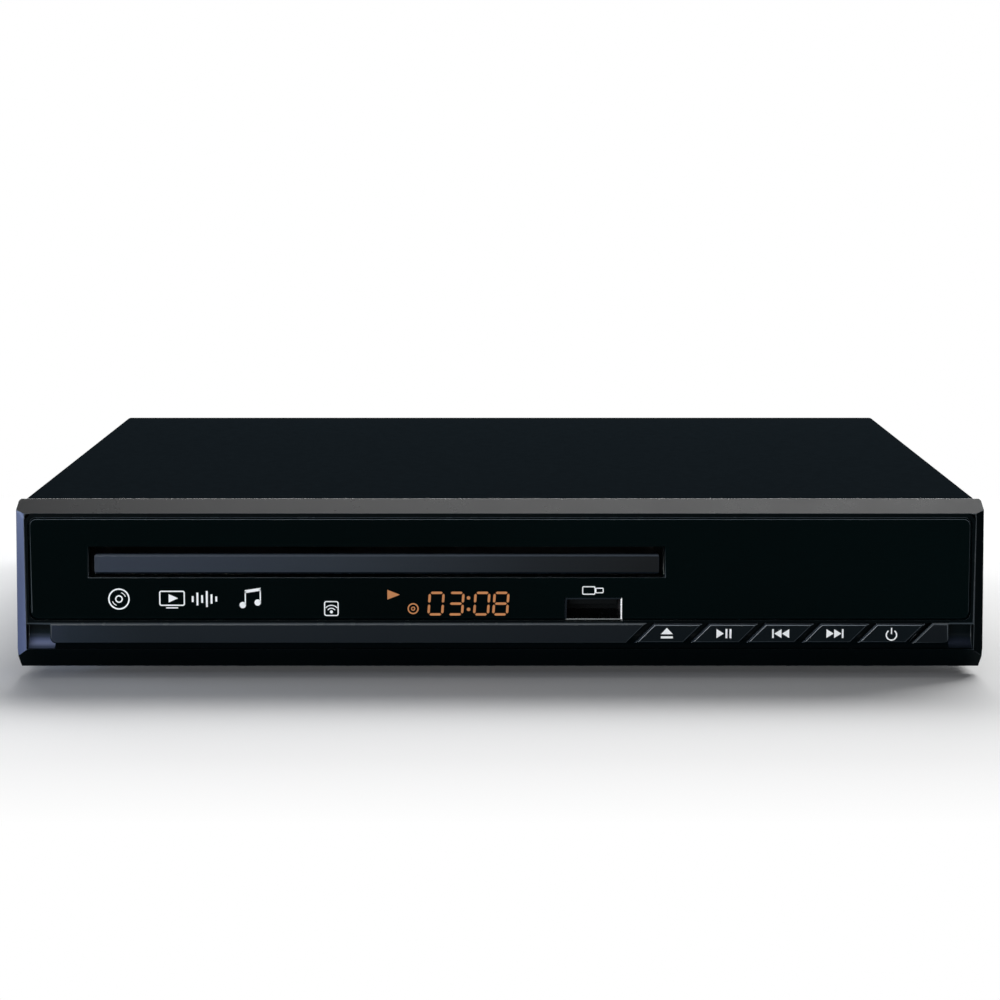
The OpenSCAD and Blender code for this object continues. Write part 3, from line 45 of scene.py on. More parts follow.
def low(node):
    """Lowest corner of a CAD node, in millimetres."""
    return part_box(node)[0] / MM


def high(node):
    """Highest corner of a CAD node, in millimetres."""
    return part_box(node)[1] / MM


# ---------------------------------------------------------------- finishes

# A noise texture mostly stays between these two values
NOISE_LOW, NOISE_HIGH = 0.3, 0.7

# Stretches that draw noise out into lines along one axis
ALONG_X, ALONG_Y, ALONG_Z = (0.04, 1, 1), (1, 0.05, 1), (1, 1, 0.04)


def rgb(red, green, blue):
    """A colour given as it looks on a screen, 0 to 255, as the linear value that a shader takes."""
    return tuple(
        c / 255 / 12.92 if c <= 10.31 else ((c / 255 + 0.055) / 1.055) ** 2.4
        for c in (red, green, blue)
    )


class Finish:
    """A Principled material and its nodes. Textures lie in the object's own place, in metres."""

    def __init__(self, name, colour, roughness, metallic=0.0, specular=0.5):
        self.material = bpy.data.materials.new(name)
        self.material.use_nodes = True
        self.tree = self.material.node_tree
        self.shader = self.tree.nodes["Principled BSDF"]
        self.shader.inputs["Base Color"].default_value = (*colour, 1)
        self.shader.inputs["Roughness"].default_value = roughness
        self.shader.inputs["Metallic"].default_value = metallic
        self.shader.inputs["Specular IOR Level"].default_value = specular
        self.colour = colour
        self.roughness = roughness
        self.place = self.node("ShaderNodeTexCoord").outputs["Object"]
        self.normal = None

    # Building blocks

    def node(self, kind, inputs=None, **settings):
        """A new node. An input is a value, or another node's output that it is linked to."""
        made = self.tree.nodes.new(kind)
        for key, value in settings.items():
            setattr(made, key, value)
        for key, value in (inputs or {}).items():
            if isinstance(value, bpy.types.NodeSocket):
                self.tree.links.new(value, made.inputs[key])
            else:
                made.inputs[key].default_value = value
        return made

    def number(self, operation, *values):
        """A sum with numbers."""
        made = self.node("ShaderNodeMath", dict(enumerate(values)), operation=operation)
        return made.outputs["Value"]

    def vector(self, operation, *values):
        """A sum with vectors, which gives a vector or, for a length or a dot product, a number."""
        made = self.node("ShaderNodeVectorMath", dict(enumerate(values)), operation=operation)
        return made.outputs["Value" if operation in ("LENGTH", "DOT_PRODUCT") else "Vector"]

    def feed(self, socket, value):
        """Links a node's output to a socket of the shader."""
        self.tree.links.new(value, self.shader.inputs[socket])
        return self

    # Patterns

    def noise(self, size, detail=3.0, stretch=(1, 1, 1), rough=0.55):
        """Noise with features about size millimetres across."""
        return self.node(
            "ShaderNodeTexNoise",
            {
                "Vector": self.vector("MULTIPLY", self.place, stretch),
                "Scale": 0.5 / (size * MM),
                "Detail": detail,
                "Roughness": rough,
            },
        ).outputs["Fac"]

    def cells(self, size, feature="F1", stretch=(1, 1, 1), output="Distance"):
        """Cells about size millimetres across, and the distance to their point or edge."""
        return self.node(
            "ShaderNodeTexVoronoi",
            {"Vector": self.vector("MULTIPLY", self.place, stretch), "Scale": 1 / (size * MM)},
            feature=feature,
        ).outputs[output]

    def across(self, axis="X", blur=0.03):
        """0 at one side of the object and 1 at the other, with a slightly uneven run."""
        boxed = self.node("ShaderNodeTexCoord").outputs["Generated"]
        along = self.node("ShaderNodeSeparateXYZ", {0: boxed}).outputs[axis]
        return self.number("MULTIPLY_ADD", self.noise(9, 3), blur, along)

    def facing(self, direction):
        """1 where a face looks in that direction, 0 where it is square to it."""
        normal = self.node("ShaderNodeNewGeometry").outputs["True Normal"]
        return self.vector("DOT_PRODUCT", normal, Vector(direction).normalized())

    def spread(self, factor, low_value, high_value, start=NOISE_LOW, end=NOISE_HIGH):
        """Takes a pattern from start..end to low_value..high_value."""
        return self.node(
            "ShaderNodeMapRange",
            {
                "Value": factor,
                "From Min": start,
                "From Max": end,
                "To Min": low_value,
                "To Max": high_value,
            },
        ).outputs["Result"]

    def ramp(self, factor, stops, hard=False):
        """Colours by a pattern's value. The stops are (value, colour), with steps if hard."""
        made = self.node("ShaderNodeValToRGB", {"Fac": factor})
        if hard:
            made.color_ramp.interpolation = "CONSTANT"
        while len(made.color_ramp.elements) < len(stops):
            made.color_ramp.elements.new(0.5)
        for element, (position, colour) in zip(made.color_ramp.elements, stops):
            element.position = position
            element.color = (*colour, 1)
        return made.outputs["Color"]

    def mix(self, share, first, second):
        """The first colour where the share is 0, and the second where it is 1."""
        made = self.node("ShaderNodeMix", {"Factor": share}, data_type="RGBA")
        for name, colour in (("A", first), ("B", second)):
            socket = next(s for s in made.inputs if s.name == name and s.type == "RGBA")
            if isinstance(colour, bpy.types.NodeSocket):
                self.tree.links.new(colour, socket)
            else:
                socket.default_value = (*colour, 1)
        return next(s for s in made.outputs if s.type == "RGBA")

    # What a pattern does to the surface

    def paint(self, colour):
        """Takes the base colour from a pattern."""
        return self.feed("Base Color", colour)

    def tint(self, factor, amount):
        """Lightens and darkens the base colour by a share."""
        dark = tuple(c * (1 - amount) for c in self.colour)
        light = tuple(c * (1 + amount) for c in self.colour)
        return self.paint(self.ramp(factor, [(NOISE_LOW, dark), (NOISE_HIGH, light)]))

    def wear(self, factor, amount, start=NOISE_LOW, end=NOISE_HIGH):
        """Varies the roughness by an amount each way."""
        least, most = self.roughness - amount, self.roughness + amount
        return self.feed("Roughness", self.spread(factor, least, most, start, end))

    def bump(self, height, depth):
        """Relief of that depth in millimetres, on top of any earlier one."""
        inputs = {"Height": height, "Distance": depth * MM, "Strength": 1.0}
        if self.normal:
            inputs["Normal"] = self.normal
        self.normal = self.node("ShaderNodeBump", inputs).outputs["Normal"]
        return self.feed("Normal", self.normal)


def moulded(name, colour, roughness, specular=0.5, grain=0.35, depth=0.012):
    """Moulded plastic with a spark-eroded grain, slow changes of tone and a few rub marks."""
    made = Finish(name, colour, roughness, specular=specular)
    made.tint(made.noise(22, 2), 0.12)
    made.wear(made.noise(6, 5, rough=0.65), 0.05)
    made.bump(made.noise(grain, 4, rough=0.6), depth)
    return made


def satin(name, colour, roughness, specular):
    """Moulded plastic of the front, with a finer and shallower grain."""
    return moulded(name, colour, roughness, specular, grain=0.25, depth=0.006)


def gloss(name, colour, specular):
    """Polished acrylic: a faint waviness, fine hairline rubs and a trace of dust."""
    made = Finish(name, colour, 0.05, specular=specular)
    made.tint(made.noise(40, 1), 0.2)
    made.wear(made.noise(0.4, 3, stretch=(0.02, 1, 1)), 0.025, 0.45, 0.75)
    made.bump(made.noise(30, 1), 0.012)
    made.bump(made.noise(0.6, 2), 0.0006)
    return made


def powder(name, colour, roughness, specular):
    """Powder-coated steel sheet: fine rounded grains with an orange-peel swell under them."""
    made = Finish(name, colour, roughness, specular=specular)
    made.tint(made.noise(1.2, 4), 0.09)
    made.wear(made.noise(3, 4), 0.06)
    made.bump(made.noise(3.2, 2), 0.02)
    made.bump(made.cells(0.42, "SMOOTH_F1"), 0.035)
    made.bump(made.noise(0.2, 3), 0.012)
    return made


def zinc(name, colour, roughness):
    """Zinc-plated steel: large faint crystals, rolling lines and a fine haze."""
    made = Finish(name, colour, roughness, metallic=1.0)
    made.tint(made.noise(9, 5, rough=0.7), 0.04)
    made.wear(made.cells(7, output="Color"), 0.04, 0.0, 1.0)
    made.bump(made.noise(0.3, 3, stretch=ALONG_X), 0.004)
    made.bump(made.noise(12, 2), 0.02)
    return made


def steel(name, colour, roughness, stretch=ALONG_Z):
    """Turned or drawn metal with fine lines along one axis."""
    made = Finish(name, colour, roughness, metallic=1.0)
    made.tint(made.noise(3, 3), 0.06)
    made.wear(made.noise(0.5, 3, stretch=stretch), 0.06)
    made.bump(made.noise(0.2, 3, stretch=stretch), 0.003)
    return made


def circuit(name, mask, copper, pitch):
    """Circuit board: tracks under the lacquer, round pads with solder, a faint relief of both."""
    solder = (0.6, 0.6, 0.58)
    made = Finish(name, mask, 0.32)
    tracks = made.cells(pitch, "DISTANCE_TO_EDGE", stretch=(1, 0.6, 1))
    pads = made.cells(pitch * 0.9)
    under = made.ramp(tracks, [(0.0, copper), (0.07, copper), (0.1, mask), (1.0, mask)])
    made.paint(made.mix(made.spread(pads, 1.0, 0.0, 0.1, 0.13), under, solder))
    made.wear(made.noise(8, 3), 0.08)
    made.bump(made.spread(tracks, 1.0, 0.0, 0.07, 0.1), 0.02)
    made.bump(made.spread(pads, 1.0, 0.0, 0.08, 0.14), 0.05)
    return made


def edge_with_painted_highlight(name, shade, sheen, start, end, shine=0.6, aside=0.0):
    """An edge with a painted highlight: painted light where it looks up, painted shade underneath.

    From start to end, which say how far it looks up, the shade turns into the sheen. With
    aside below 0, it looks up and to the left.
    """
    made = Finish(name, shade, 0.24, specular=0.5)
    upward = made.facing((aside, -0.45, 0.8))
    made.paint(made.ramp(upward, [(start, shade), (end, sheen)]))
    made.feed("Specular IOR Level", made.spread(upward, 0.02, shine, start, end))
    made.wear(made.noise(2, 4), 0.06)
    made.bump(made.noise(0.3, 3), 0.003)
    return made


def rubber(name, colour):
    """Dull rubber with a fine grain and a trace of dust."""
    made = Finish(name, colour, 0.82, specular=0.3)
    made.tint(made.noise(5, 4), 0.25)
    made.bump(made.noise(0.25, 4), 0.03)
    return made


def glowing(name, colour):
    """A lit segment: the glow is a little uneven along it, as a light guide's is."""
    unlit = tuple(c * 0.3 for c in colour)
    dim = tuple(c * 0.82 for c in colour)
    made = Finish(name, unlit, 0.4, specular=0.2)
    made.feed("Emission Color", made.ramp(made.noise(1.4, 1), [(0.3, dim), (0.6, colour)]))
    made.shader.inputs["Emission Strength"].default_value = 1.0
    made.bump(made.noise(0.2, 2), 0.004)
    return made


# The front
BODY = satin("body_black", rgb(2, 7, 9), 0.32, 0.012)
BEVEL = satin("bevel_black", rgb(8, 12, 15), 0.3, 0.036)
# The cheeks are lit and shaded copies of one black: the left one is painted lit bluish, the right
# one is a darker copy with its reflection turned down, as painted shade
CHEEK_PAINTED_LIGHT = satin("cheek_painted_light", rgb(64, 75, 106), 0.3, 0.28)
CHEEK_PAINTED_SHADE = satin("cheek_painted_shade", rgb(2, 6, 8), 0.3, 0.004)
WINDOW = gloss("window_black", rgb(1, 8, 9), 0.012)
KEY = moulded("key_black", rgb(11, 18, 22), 0.36, 0.02, grain=0.28, depth=0.008)

# The frame around the window, with a painted highlight: it is painted lighter below the window,
# next to the trim bar
RECESS_PAINTED_HIGHLIGHT = satin("recess_black_painted_highlight", rgb(2, 7, 9), 0.32, 0.012)
RECESS_PAINTED_HIGHLIGHT.paint(RECESS_PAINTED_HIGHLIGHT.ramp(
    RECESS_PAINTED_HIGHLIGHT.across("Z", blur=0.0),
    [(0.0, rgb(50, 58, 64)), (0.2775, rgb(2, 7, 9))],
    hard=True,
))

# The trim bar and the tray's front cover, with painted light: both are painted lit at the left and
# grow darker to the right
TRIM_PAINTED_LIGHT = moulded("trim_painted_light", rgb(15, 24, 30), 0.36, 0.05, grain=0.28, depth=0.008)
TRIM_PAINTED_LIGHT.paint(TRIM_PAINTED_LIGHT.ramp(TRIM_PAINTED_LIGHT.across(), [
    (0.03, rgb(38, 45, 60)),
    (0.07, rgb(24, 34, 44)),
    (0.15, rgb(15, 24, 31)),
    (0.95, rgb(7, 14, 19)),
]))
DOOR_PAINTED_LIGHT = satin("door_black", rgb(39, 46, 55), 0.34, 0.06)
DOOR_PAINTED_LIGHT.paint(DOOR_PAINTED_LIGHT.ramp(DOOR_PAINTED_LIGHT.across(), [
    (0.0, rgb(44, 52, 65)),
    (0.45, rgb(34, 42, 51)),
    (0.8, rgb(14, 21, 27)),
    (1.0, rgb(6, 11, 15)),
]))

# The channel around the trim bar and the keys, with painted light. Its left end is painted lit, its
# right end a little, and between them only its lowest line is painted as a highlight
COVE_PAINTED_LIGHT = satin("cove_painted_light", rgb(30, 40, 52), 0.34, 0.02)
cove_height = COVE_PAINTED_LIGHT.across("Z", blur=0.004)
cove_end_painted_light = COVE_PAINTED_LIGHT.ramp(cove_height, [
    (0.112, rgb(140, 150, 162)),
    (0.12, rgb(92, 104, 122)),
    (0.133, rgb(84, 94, 120)),
    (0.148, rgb(116, 126, 158)),
    (0.162, rgb(98, 108, 140)),
    (0.188, rgb(42, 52, 68)),
    (0.21, rgb(14, 24, 30)),
    (0.24, rgb(3, 10, 13)),
])
cove_middle_painted_light = COVE_PAINTED_LIGHT.ramp(cove_height, [
    (0.113, rgb(120, 130, 138)),
    (0.119, rgb(50, 58, 64)),
    (0.127, rgb(12, 18, 21)),
    (0.15, rgb(2, 8, 11)),
])
cove_lit_end_share = COVE_PAINTED_LIGHT.ramp(
    COVE_PAINTED_LIGHT.across(blur=0.0),
    [(0.0, (1, 1, 1)), (0.0362, (0, 0, 0)), (0.9625, (0.08, 0.08, 0.08))],
    hard=True,
)
COVE_PAINTED_LIGHT.paint(COVE_PAINTED_LIGHT.mix(cove_lit_end_share, cove_middle_painted_light, cove_end_painted_light))

# Its edges, with painted highlights where they look up and painted shade underneath
EDGE = edge_with_painted_highlight("edge_painted_highlight", rgb(5, 11, 14), rgb(88, 98, 108), 0.12, 0.6)
BAR_EDGE = edge_with_painted_highlight("bar_edge", rgb(5, 11, 14), rgb(44, 52, 58), 0.12, 0.6, 0.3)
FRAME_EDGE = edge_with_painted_highlight("frame_edge", rgb(5, 11, 14), rgb(54, 62, 68), 0.05, 0.45, 0.3)
DOOR_EDGE = edge_with_painted_highlight("door_edge", rgb(16, 22, 28), rgb(62, 69, 78), 0.2, 0.6, 0.12, aside=-0.4)
WINDOW_EDGE = edge_with_painted_highlight("window_edge", rgb(12, 20, 23), rgb(78, 88, 96), 0.15, 0.7)

# The case
COVER = powder("cover_black", rgb(20, 26, 30), 0.75, 0.0)
ZINC = zinc("zinc_steel", rgb(160, 162, 165), 0.4)
RUBBER = rubber("foot_rubber", rgb(20, 20, 21))
SCREW_BLACK = steel("screw_black", rgb(38, 38, 41), 0.42)
SCREW_ZINC = steel("screw_zinc", rgb(205, 206, 208), 0.28)

# The loader and its traverse
TRAY = moulded("tray_black", rgb(14, 15, 17), 0.44, 0.4, grain=0.5, depth=0.03)
LOADER = moulded("loader_black", rgb(26, 27, 30), 0.5, 0.4, grain=0.6, depth=0.03)
BELT = rubber("belt_rubber", rgb(16, 16, 17))
WHITE = moulded("clamper_white", rgb(226, 226, 222), 0.42)
GEAR = moulded("gear_white", rgb(232, 231, 225), 0.38, grain=0.25)
MOTOR = steel("motor_metal", rgb(198, 200, 204), 0.26)
ROD = steel("rod_steel", rgb(222, 223, 225), 0.12, stretch=ALONG_Y)
SLED = moulded("sled_grey", rgb(118, 119, 123), 0.5)
LENS = moulded("lens_dark", rgb(52, 54, 66), 0.35)
GLASS = gloss("lens_glass", rgb(58, 66, 120), 0.9)

# Boards and what stands on them
BOARD_GREEN = circuit("board_green", rgb(14, 78, 40), rgb(38, 122, 62), 2.6)
BOARD_BROWN = circuit("board_brown", rgb(142, 98, 56), rgb(176, 132, 84), 4.5)
DISPLAY = moulded("display_dark", rgb(30, 30, 32), 0.4)
SENSOR = gloss("sensor_dark", rgb(40, 12, 18), 0.5)
SWITCH = moulded("switch_grey", rgb(120, 121, 124), 0.45)
PARTS = moulded("parts_black", rgb(30, 30, 33), 0.42, grain=0.2)
FERRITE = moulded("ferrite_dark", rgb(58, 58, 60), 0.6, grain=0.3, depth=0.03)
RIBBON = moulded("ribbon_white", rgb(224, 226, 230), 0.35, grain=0.8)
ALUMINIUM = steel("heat_sink", rgb(190, 192, 196), 0.34)
TAPE = moulded("winding_tape", rgb(222, 184, 52), 0.38, grain=0.9)
CREAM = moulded("connector_cream", rgb(226, 219, 198), 0.42)

# Sockets
SOCKET_METAL = steel("socket_metal", rgb(178, 178, 175), 0.26, stretch=ALONG_Y)
SOCKET_BLACK = moulded("socket_black", rgb(20, 20, 22), 0.4)
ORANGE = moulded("coax_orange", rgb(222, 112, 24), 0.34)
NICKEL = steel("nickel", rgb(184, 182, 175), 0.24, stretch=ALONG_Y)
SHELL = steel("socket_shell", rgb(196, 198, 200), 0.3, stretch=ALONG_Y)
# The rim and floor of the USB shell carry painted light and shade
RIM_PAINTED_SHADE = steel("socket_rim_painted_shade", rgb(18, 22, 26), 0.36, stretch=ALONG_Y)
SILL_PAINTED_LIGHT_AND_SHADE = steel("socket_sill_painted_light_and_shade", rgb(82, 85, 86), 0.3, stretch=ALONG_Y)
SILL_PAINTED_LIGHT_AND_SHADE.paint(SILL_PAINTED_LIGHT_AND_SHADE.ramp(
    SILL_PAINTED_LIGHT_AND_SHADE.across("Y"),
    [(0.0, rgb(82, 85, 86)), (0.3, rgb(4, 5, 6))],
))
# Painted shade: the dark inside of the sockets, their floors and the hole of the coaxial one
PAINTED_SHADE_INSIDE = moulded("socket_painted_shade", rgb(4, 7, 9), 0.6, 0.05)

# Marks
PRINT = Finish("print_white", rgb(244, 247, 249), 0.5, specular=0.2)
PRINT.tint(PRINT.noise(1.2, 3), 0.06).bump(PRINT.noise(0.15, 3), 0.004)
AMBER = glowing("figure_amber", rgb(164, 107, 62))


def plain_name(material):
    """A material's name without the number that Blender adds where the name is taken."""
    return material.name.split(".")[0]


BY_SLOT = {plain_name(finish.material): finish.material for finish in (
    BODY, WINDOW, COVER, KEY, DOOR_PAINTED_LIGHT, TRAY, LOADER, ZINC, RUBBER, BELT, SCREW_BLACK, SCREW_ZINC,
    BOARD_GREEN, BOARD_BROWN, DISPLAY, SOCKET_METAL, SENSOR, SWITCH, WHITE, GEAR, MOTOR, ROD,
    SLED, LENS, PARTS, FERRITE, RIBBON, SOCKET_BLACK, ORANGE,
)}

for node in NODES.values():
    slot = node.material_slots[0]
    slot.material = BY_SLOT[plain_name(slot.material)]


# ---------------------------------------------------------------- finishes of single faces

# A face looks along an axis if its normal has this share of it
SQUARE = 0.9


def islands(node):
    """The separate bodies in a node's mesh: for each, its faces and lowest and highest corner."""
    mesh = NODES[node].data
    leader = {}
    spots = [tuple(round(c / (0.002 * MM)) for c in v.co) for v in mesh.vertices]

    def root(spot):
        while leader.setdefault(spot, spot) != spot:
            spot = leader[spot]
        return spot

    for face in mesh.polygons:
        first = root(spots[face.vertices[0]])
        for v in face.vertices[1:]:
            leader[root(spots[v])] = first
    groups = {}
    for face in mesh.polygons:
        groups.setdefault(root(spots[face.vertices[0]]), []).append(face)
    found = []
    for faces in groups.values():
        points = [mesh.vertices[v].co / MM for face in faces for v in face.vertices]
        found.append((
            faces,
            Vector([min(p[i] for p in points) for i in range(3)]),
            Vector([max(p[i] for p in points) for i in range(3)]),
        ))
    return found


def coat(node, finish, faces):
    """Gives some faces of a CAD node another finish."""
    mesh = NODES[node].data
    names = [m.name for m in mesh.materials]
    if finish.material.name not in names:
        mesh.materials.append(finish.material)
        names.append(finish.material.name)
    for face in faces:
        face.material_index = names.index(finish.material.name)


def coat_where(node, finish, test):
    """Coats the faces whose centre, in millimetres, and normal pass the test."""
    coat(node, finish, [f for f in NODES[node].data.polygons if test(f.center / MM, f.normal)])


def coat_bodies(node, finish, test):
    """Coats the whole bodies inside a node whose lowest corner and height pass the test."""
    for faces, lowest, highest in islands(node):
        if test(lowest, highest - lowest):
            coat(node, finish, faces)


# Depths in the front panel, behind its foremost plane
front = low("front_panel").y
bar_front = front + 0.35         # the trim bar's front face lies before this
recess = front + 0.4             # the plane around the window
edges = front + 0.6              # the narrow faces along the edges lie before this
skin = front + 7                 # and all that is seen from the front before this

# Heights and widths in it
lip_low, lip_high = 6, 7.5       # the flat top of the lip
channel_low, channel_high = 7, 13.4
bar_low, bar_high = 8, 13.3
window_low, window_high = low("fascia_window").z, high("fascia_window").z
cheek = high("front_panel").x - 3

# Painted light on the trim bar's front, lit at the left
coat_where("front_panel", TRIM_PAINTED_LIGHT, lambda c, n: (
    c.y < bar_front and bar_low + 0.1 < c.z < window_low - 0.5))
# Painted highlight: the plane around the window, lighter below it
coat_where("front_panel", RECESS_PAINTED_HIGHLIGHT, lambda c, n: n.y < -SQUARE and abs(c.y - recess) < 0.05)
# Painted light and shade in the channel
coat_where("front_panel", COVE_PAINTED_LIGHT, lambda c, n: (
    edges < c.y < skin and channel_low < c.z < channel_high and n.z > -0.2 and abs(n.x) < 0.1))
# Painted highlights on the trim bar's edges
coat_where("front_panel", BAR_EDGE, lambda c, n: (
    c.y < edges and bar_low < c.z < bar_high and abs(n.y) < SQUARE))
# Painted light on the flat top of the lip, lit at the left
coat_where("front_panel", TRIM_PAINTED_LIGHT, lambda c, n: (
    c.y < edges and lip_low < c.z < lip_high and n.z > SQUARE))
# Painted light on the left cheek, painted shade on the right one
coat_where("front_panel", CHEEK_PAINTED_LIGHT, lambda c, n: n.x < -0.4 and c.y < skin and c.x < -cheek)
coat_where("front_panel", CHEEK_PAINTED_SHADE, lambda c, n: n.x > 0.4 and c.y < skin and c.x > cheek)
coat_where("front_panel", BEVEL, lambda c, n: n.z > 0.8 and c.z > window_high and c.y < skin)

# The rounded front edges of the tray's cover, with a painted highlight, and the loader's front as
# seen through the slot, painted the body's black as shade
door_front = low("tray_door").y
coat_where("tray_door", DOOR_EDGE, lambda c, n: c.y < door_front + 1 and -0.98 < n.y < -0.15)
loader_front = low("loader_frame").y
coat_where("loader_frame", BODY, lambda c, n: n.y < -SQUARE and c.y < loader_front + 1)

# The shell of the USB socket, with painted light and shade: its front rim is painted dark except
# along its bottom and right side, its right inner wall keeps the metal's colour, its floor is
# painted lit at the mouth and dark deeper in, and all else inside is painted dark as shade
usb = low("usb_socket")
usb_right = high("usb_socket").x - 2
usb_rim = usb.y + 0.3
coat_where("usb_socket", RIM_PAINTED_SHADE, lambda c, n: c.y < usb_rim)
coat_where("usb_socket", PAINTED_SHADE_INSIDE, lambda c, n: c.y > usb_rim)
coat_where("usb_socket", SHELL, lambda c, n: c.y > usb_rim and n.x < -SQUARE)
coat_where("usb_socket", SILL_PAINTED_LIGHT_AND_SHADE, lambda c, n: (
    c.y > usb_rim and n.z > SQUARE and c.z < usb.z + 1))
coat_where("usb_socket", SILL_PAINTED_LIGHT_AND_SHADE, lambda c, n: (
    c.y < usb_rim and n.y < -SQUARE and c.z < usb.z + 0.3))
coat_where("usb_socket", SHELL, lambda c, n: c.y < usb_rim and n.y < -SQUARE and c.x > usb_right)


def near(spot, x, z, radius):
    """Whether a spot lies that near to a line along Y, all in millimetres."""
    return math.hypot(spot.x - x, spot.z - z) < radius


def middle(node):
    """The middle of a CAD node's box, in millimetres."""
    return (low(node) + high(node)) / 2


# The tongue of the HDMI socket, and its floor painted dark as shade
hdmi = middle("hdmi_socket")
hdmi_floor = low("hdmi_socket").y + 2
tongue_z = hdmi.z + 0.45
tongue_w, tongue_h = 11.2, 1.2
coat_where("hdmi_socket", SOCKET_BLACK, lambda c, n: (
    c.y > hdmi_floor + 0.1
    and abs(c.x - hdmi.x) < tongue_w / 2
    and abs(c.z - tongue_z) < tongue_h / 2))
coat_where("hdmi_socket", PAINTED_SHADE_INSIDE, lambda c, n: abs(c.y - hdmi_floor) < 0.1)

# The two pins of the mains inlet
inlet = middle("mains_inlet")
pin_side, pin_radius, pin_root = 4.3, 1.3, inlet.y - 4.2
coat_where("mains_inlet", NICKEL, lambda c, n: c.y > pin_root and (
    near(c, inlet.x - pin_side, inlet.z, pin_radius)
    or near(c, inlet.x + pin_side, inlet.z, pin_radius)))

# The barrel of the coaxial socket, which stands out of the rear, and the hole in its centre,
# painted dark as shade
coax_x, coax_z = middle("coax_socket").x, high("coax_socket").z - 5.4
coax_hole = 1.65
barrel_root = high("rear_panel").y + 0.85
coat_where("coax_socket", NICKEL, lambda c, n: c.y > barrel_root)
coat_where("coax_socket", PAINTED_SHADE_INSIDE, lambda c, n: near(c, coax_x, coax_z, coax_hole))

# Main board: connectors, the sleeves of the cans, and the tops of the cans
coat_bodies("main_board_parts", CREAM, lambda at, size: 2 < size.z < 2.6)
coat_bodies("main_board_parts", FERRITE, lambda at, size: size.z > 5)
coat_where("main_board_parts", ALUMINIUM, lambda c, n: n.z > SQUARE and c.z > 14)

# Power board: the filter capacitor, the heat sink, the tops of the cans, and the winding
coat_bodies("power_board_parts", TAPE, lambda at, size: 10 < size.z < 11.5)
coat_bodies("power_board_parts", ALUMINIUM, lambda at, size: size.z > 19 and at.x < 60)
coat_where("power_board_parts", ALUMINIUM, lambda c, n: n.z > SQUARE and c.z > 20)
coat_bodies("power_transformer", TAPE, lambda at, size: 7 < size.z < 9)

# The connector of the front board, and the glass of the lens
coat_bodies("front_board", CREAM, lambda at, size: size.x < 12)
lens_top = high("lens_holder").z
coat_where("lens_holder", GLASS, lambda c, n: c.z > lens_top - 0.85 and n.z > 0.05)


# ---------------------------------------------------------------- edges

# Edges that turn by more degrees than this get a radius
SHARP = 32


def soften(names, radius, segments=2, finish=None):
    """Gives a CAD node's sharp edges a small radius. The mesh itself stays as it is."""
    for name in names:
        node = NODES[name]
        weld = node.modifiers.new("weld", "WELD")
        weld.merge_threshold = 0.002 * MM
        flat = node.modifiers.new("flat_faces", "DECIMATE")
        flat.decimate_type = "DISSOLVE"
        flat.angle_limit = math.radians(0.4)
        flat.delimit = {"MATERIAL"}
        edge = node.modifiers.new("edge", "BEVEL")
        edge.offset_type = "ABSOLUTE"
        edge.width = radius * MM
        edge.segments = segments
        edge.limit_method = "ANGLE"
        edge.angle_limit = math.radians(SHARP)
        edge.harden_normals = True
        # With the overlap clamped, the shortest edge would leave no radius anywhere
        edge.use_clamp_overlap = False
        if finish:
            coat(name, finish, [])
            edge.material = len(node.data.materials) - 1


KEYS = ["key_eject", "key_play", "key_previous", "key_next", "key_power"]
SOCKETS = ["scart_socket", "mains_inlet", "usb_socket", "hdmi_socket"]
# The first four get edge finishes with painted highlights where the edges look up and painted shade
# underneath
soften(["front_panel"], 0.16, 3, finish=FRAME_EDGE)
soften(["fascia_window"], 0.14, finish=WINDOW_EDGE)
soften(KEYS, 0.12, finish=EDGE)
soften(["tray_door"], 0.14, finish=DOOR_EDGE)
soften(["top_cover"], 0.14)
soften(["disc_tray", "rear_panel"] + SOCKETS, 0.1)


# ---------------------------------------------------------------- printed marks and lit figures

# How far a mark stands out of its surface, and how far it reaches into it, in millimetres
MARK_PROUD, MARK_ROOT = 0.02, 0.01


def prism(mesh, outline, front, back):
    """One closed outline of (x, z), pulled from back to front along Y. All in millimetres."""
    rings = [
        [mesh.verts.new((x * MM, y * MM, z * MM)) for x, z in outline] for y in (front, back)
    ]
    mesh.faces.new(rings[0])
    mesh.faces.new(rings[1][::-1])
    for i in range(len(outline)):
        j = (i + 1) % len(outline)
        mesh.faces.new([rings[0][j], rings[0][i], rings[1][i], rings[1][j]])


def mark(name, outlines, y, body, finish):
    """A thin raised print on the plane y: each outline is a list of (x, z)."""
    data = bpy.data.meshes.new(name)
    mesh = bmesh.new()
    for outline in outlines:
        prism(mesh, outline, y - MARK_PROUD, y + MARK_ROOT)
    bmesh.ops.recalc_face_normals(mesh, faces=mesh.faces)
    mesh.to_mesh(data)
    mesh.free()
    data.materials.append(finish.material)
    piece = bpy.data.objects.new(name, data)
    bpy.context.scene.collection.objects.link(piece)
    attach(piece, body)


def bar(x0, x1, z0, z1):
    """An upright rectangle."""
    return [(x0, z0), (x1, z0), (x1, z1), (x0, z1)]


def wedge(x0, x1, z, half):
    """A triangle with its upright side at x0, which points to x1."""
    return [(x0, z - half), (x1, z), (x0, z + half)]


def ring_point(x, z, radius, turn):
    """The point of a circle at that turn, in radians."""
    return x + radius * math.cos(turn), z + radius * math.sin(turn)


def arc(x, z, radius, width, start=0, end=360):
    """Part of a ring, in degrees. A full turn comes as two halves."""
    if end - start >= 360:
        half = start + 180
        return arc(x, z, radius, width, start, half) + arc(x, z, radius, width, half, start + 360)
    steps = max(6, int((end - start) / 9))
    turns = [math.radians(start + (end - start) * i / steps) for i in range(steps + 1)]
    outer = [ring_point(x, z, radius + width / 2, turn) for turn in turns]
    inner = [ring_point(x, z, radius - width / 2, turn) for turn in turns]
    return [outer + inner[::-1]]


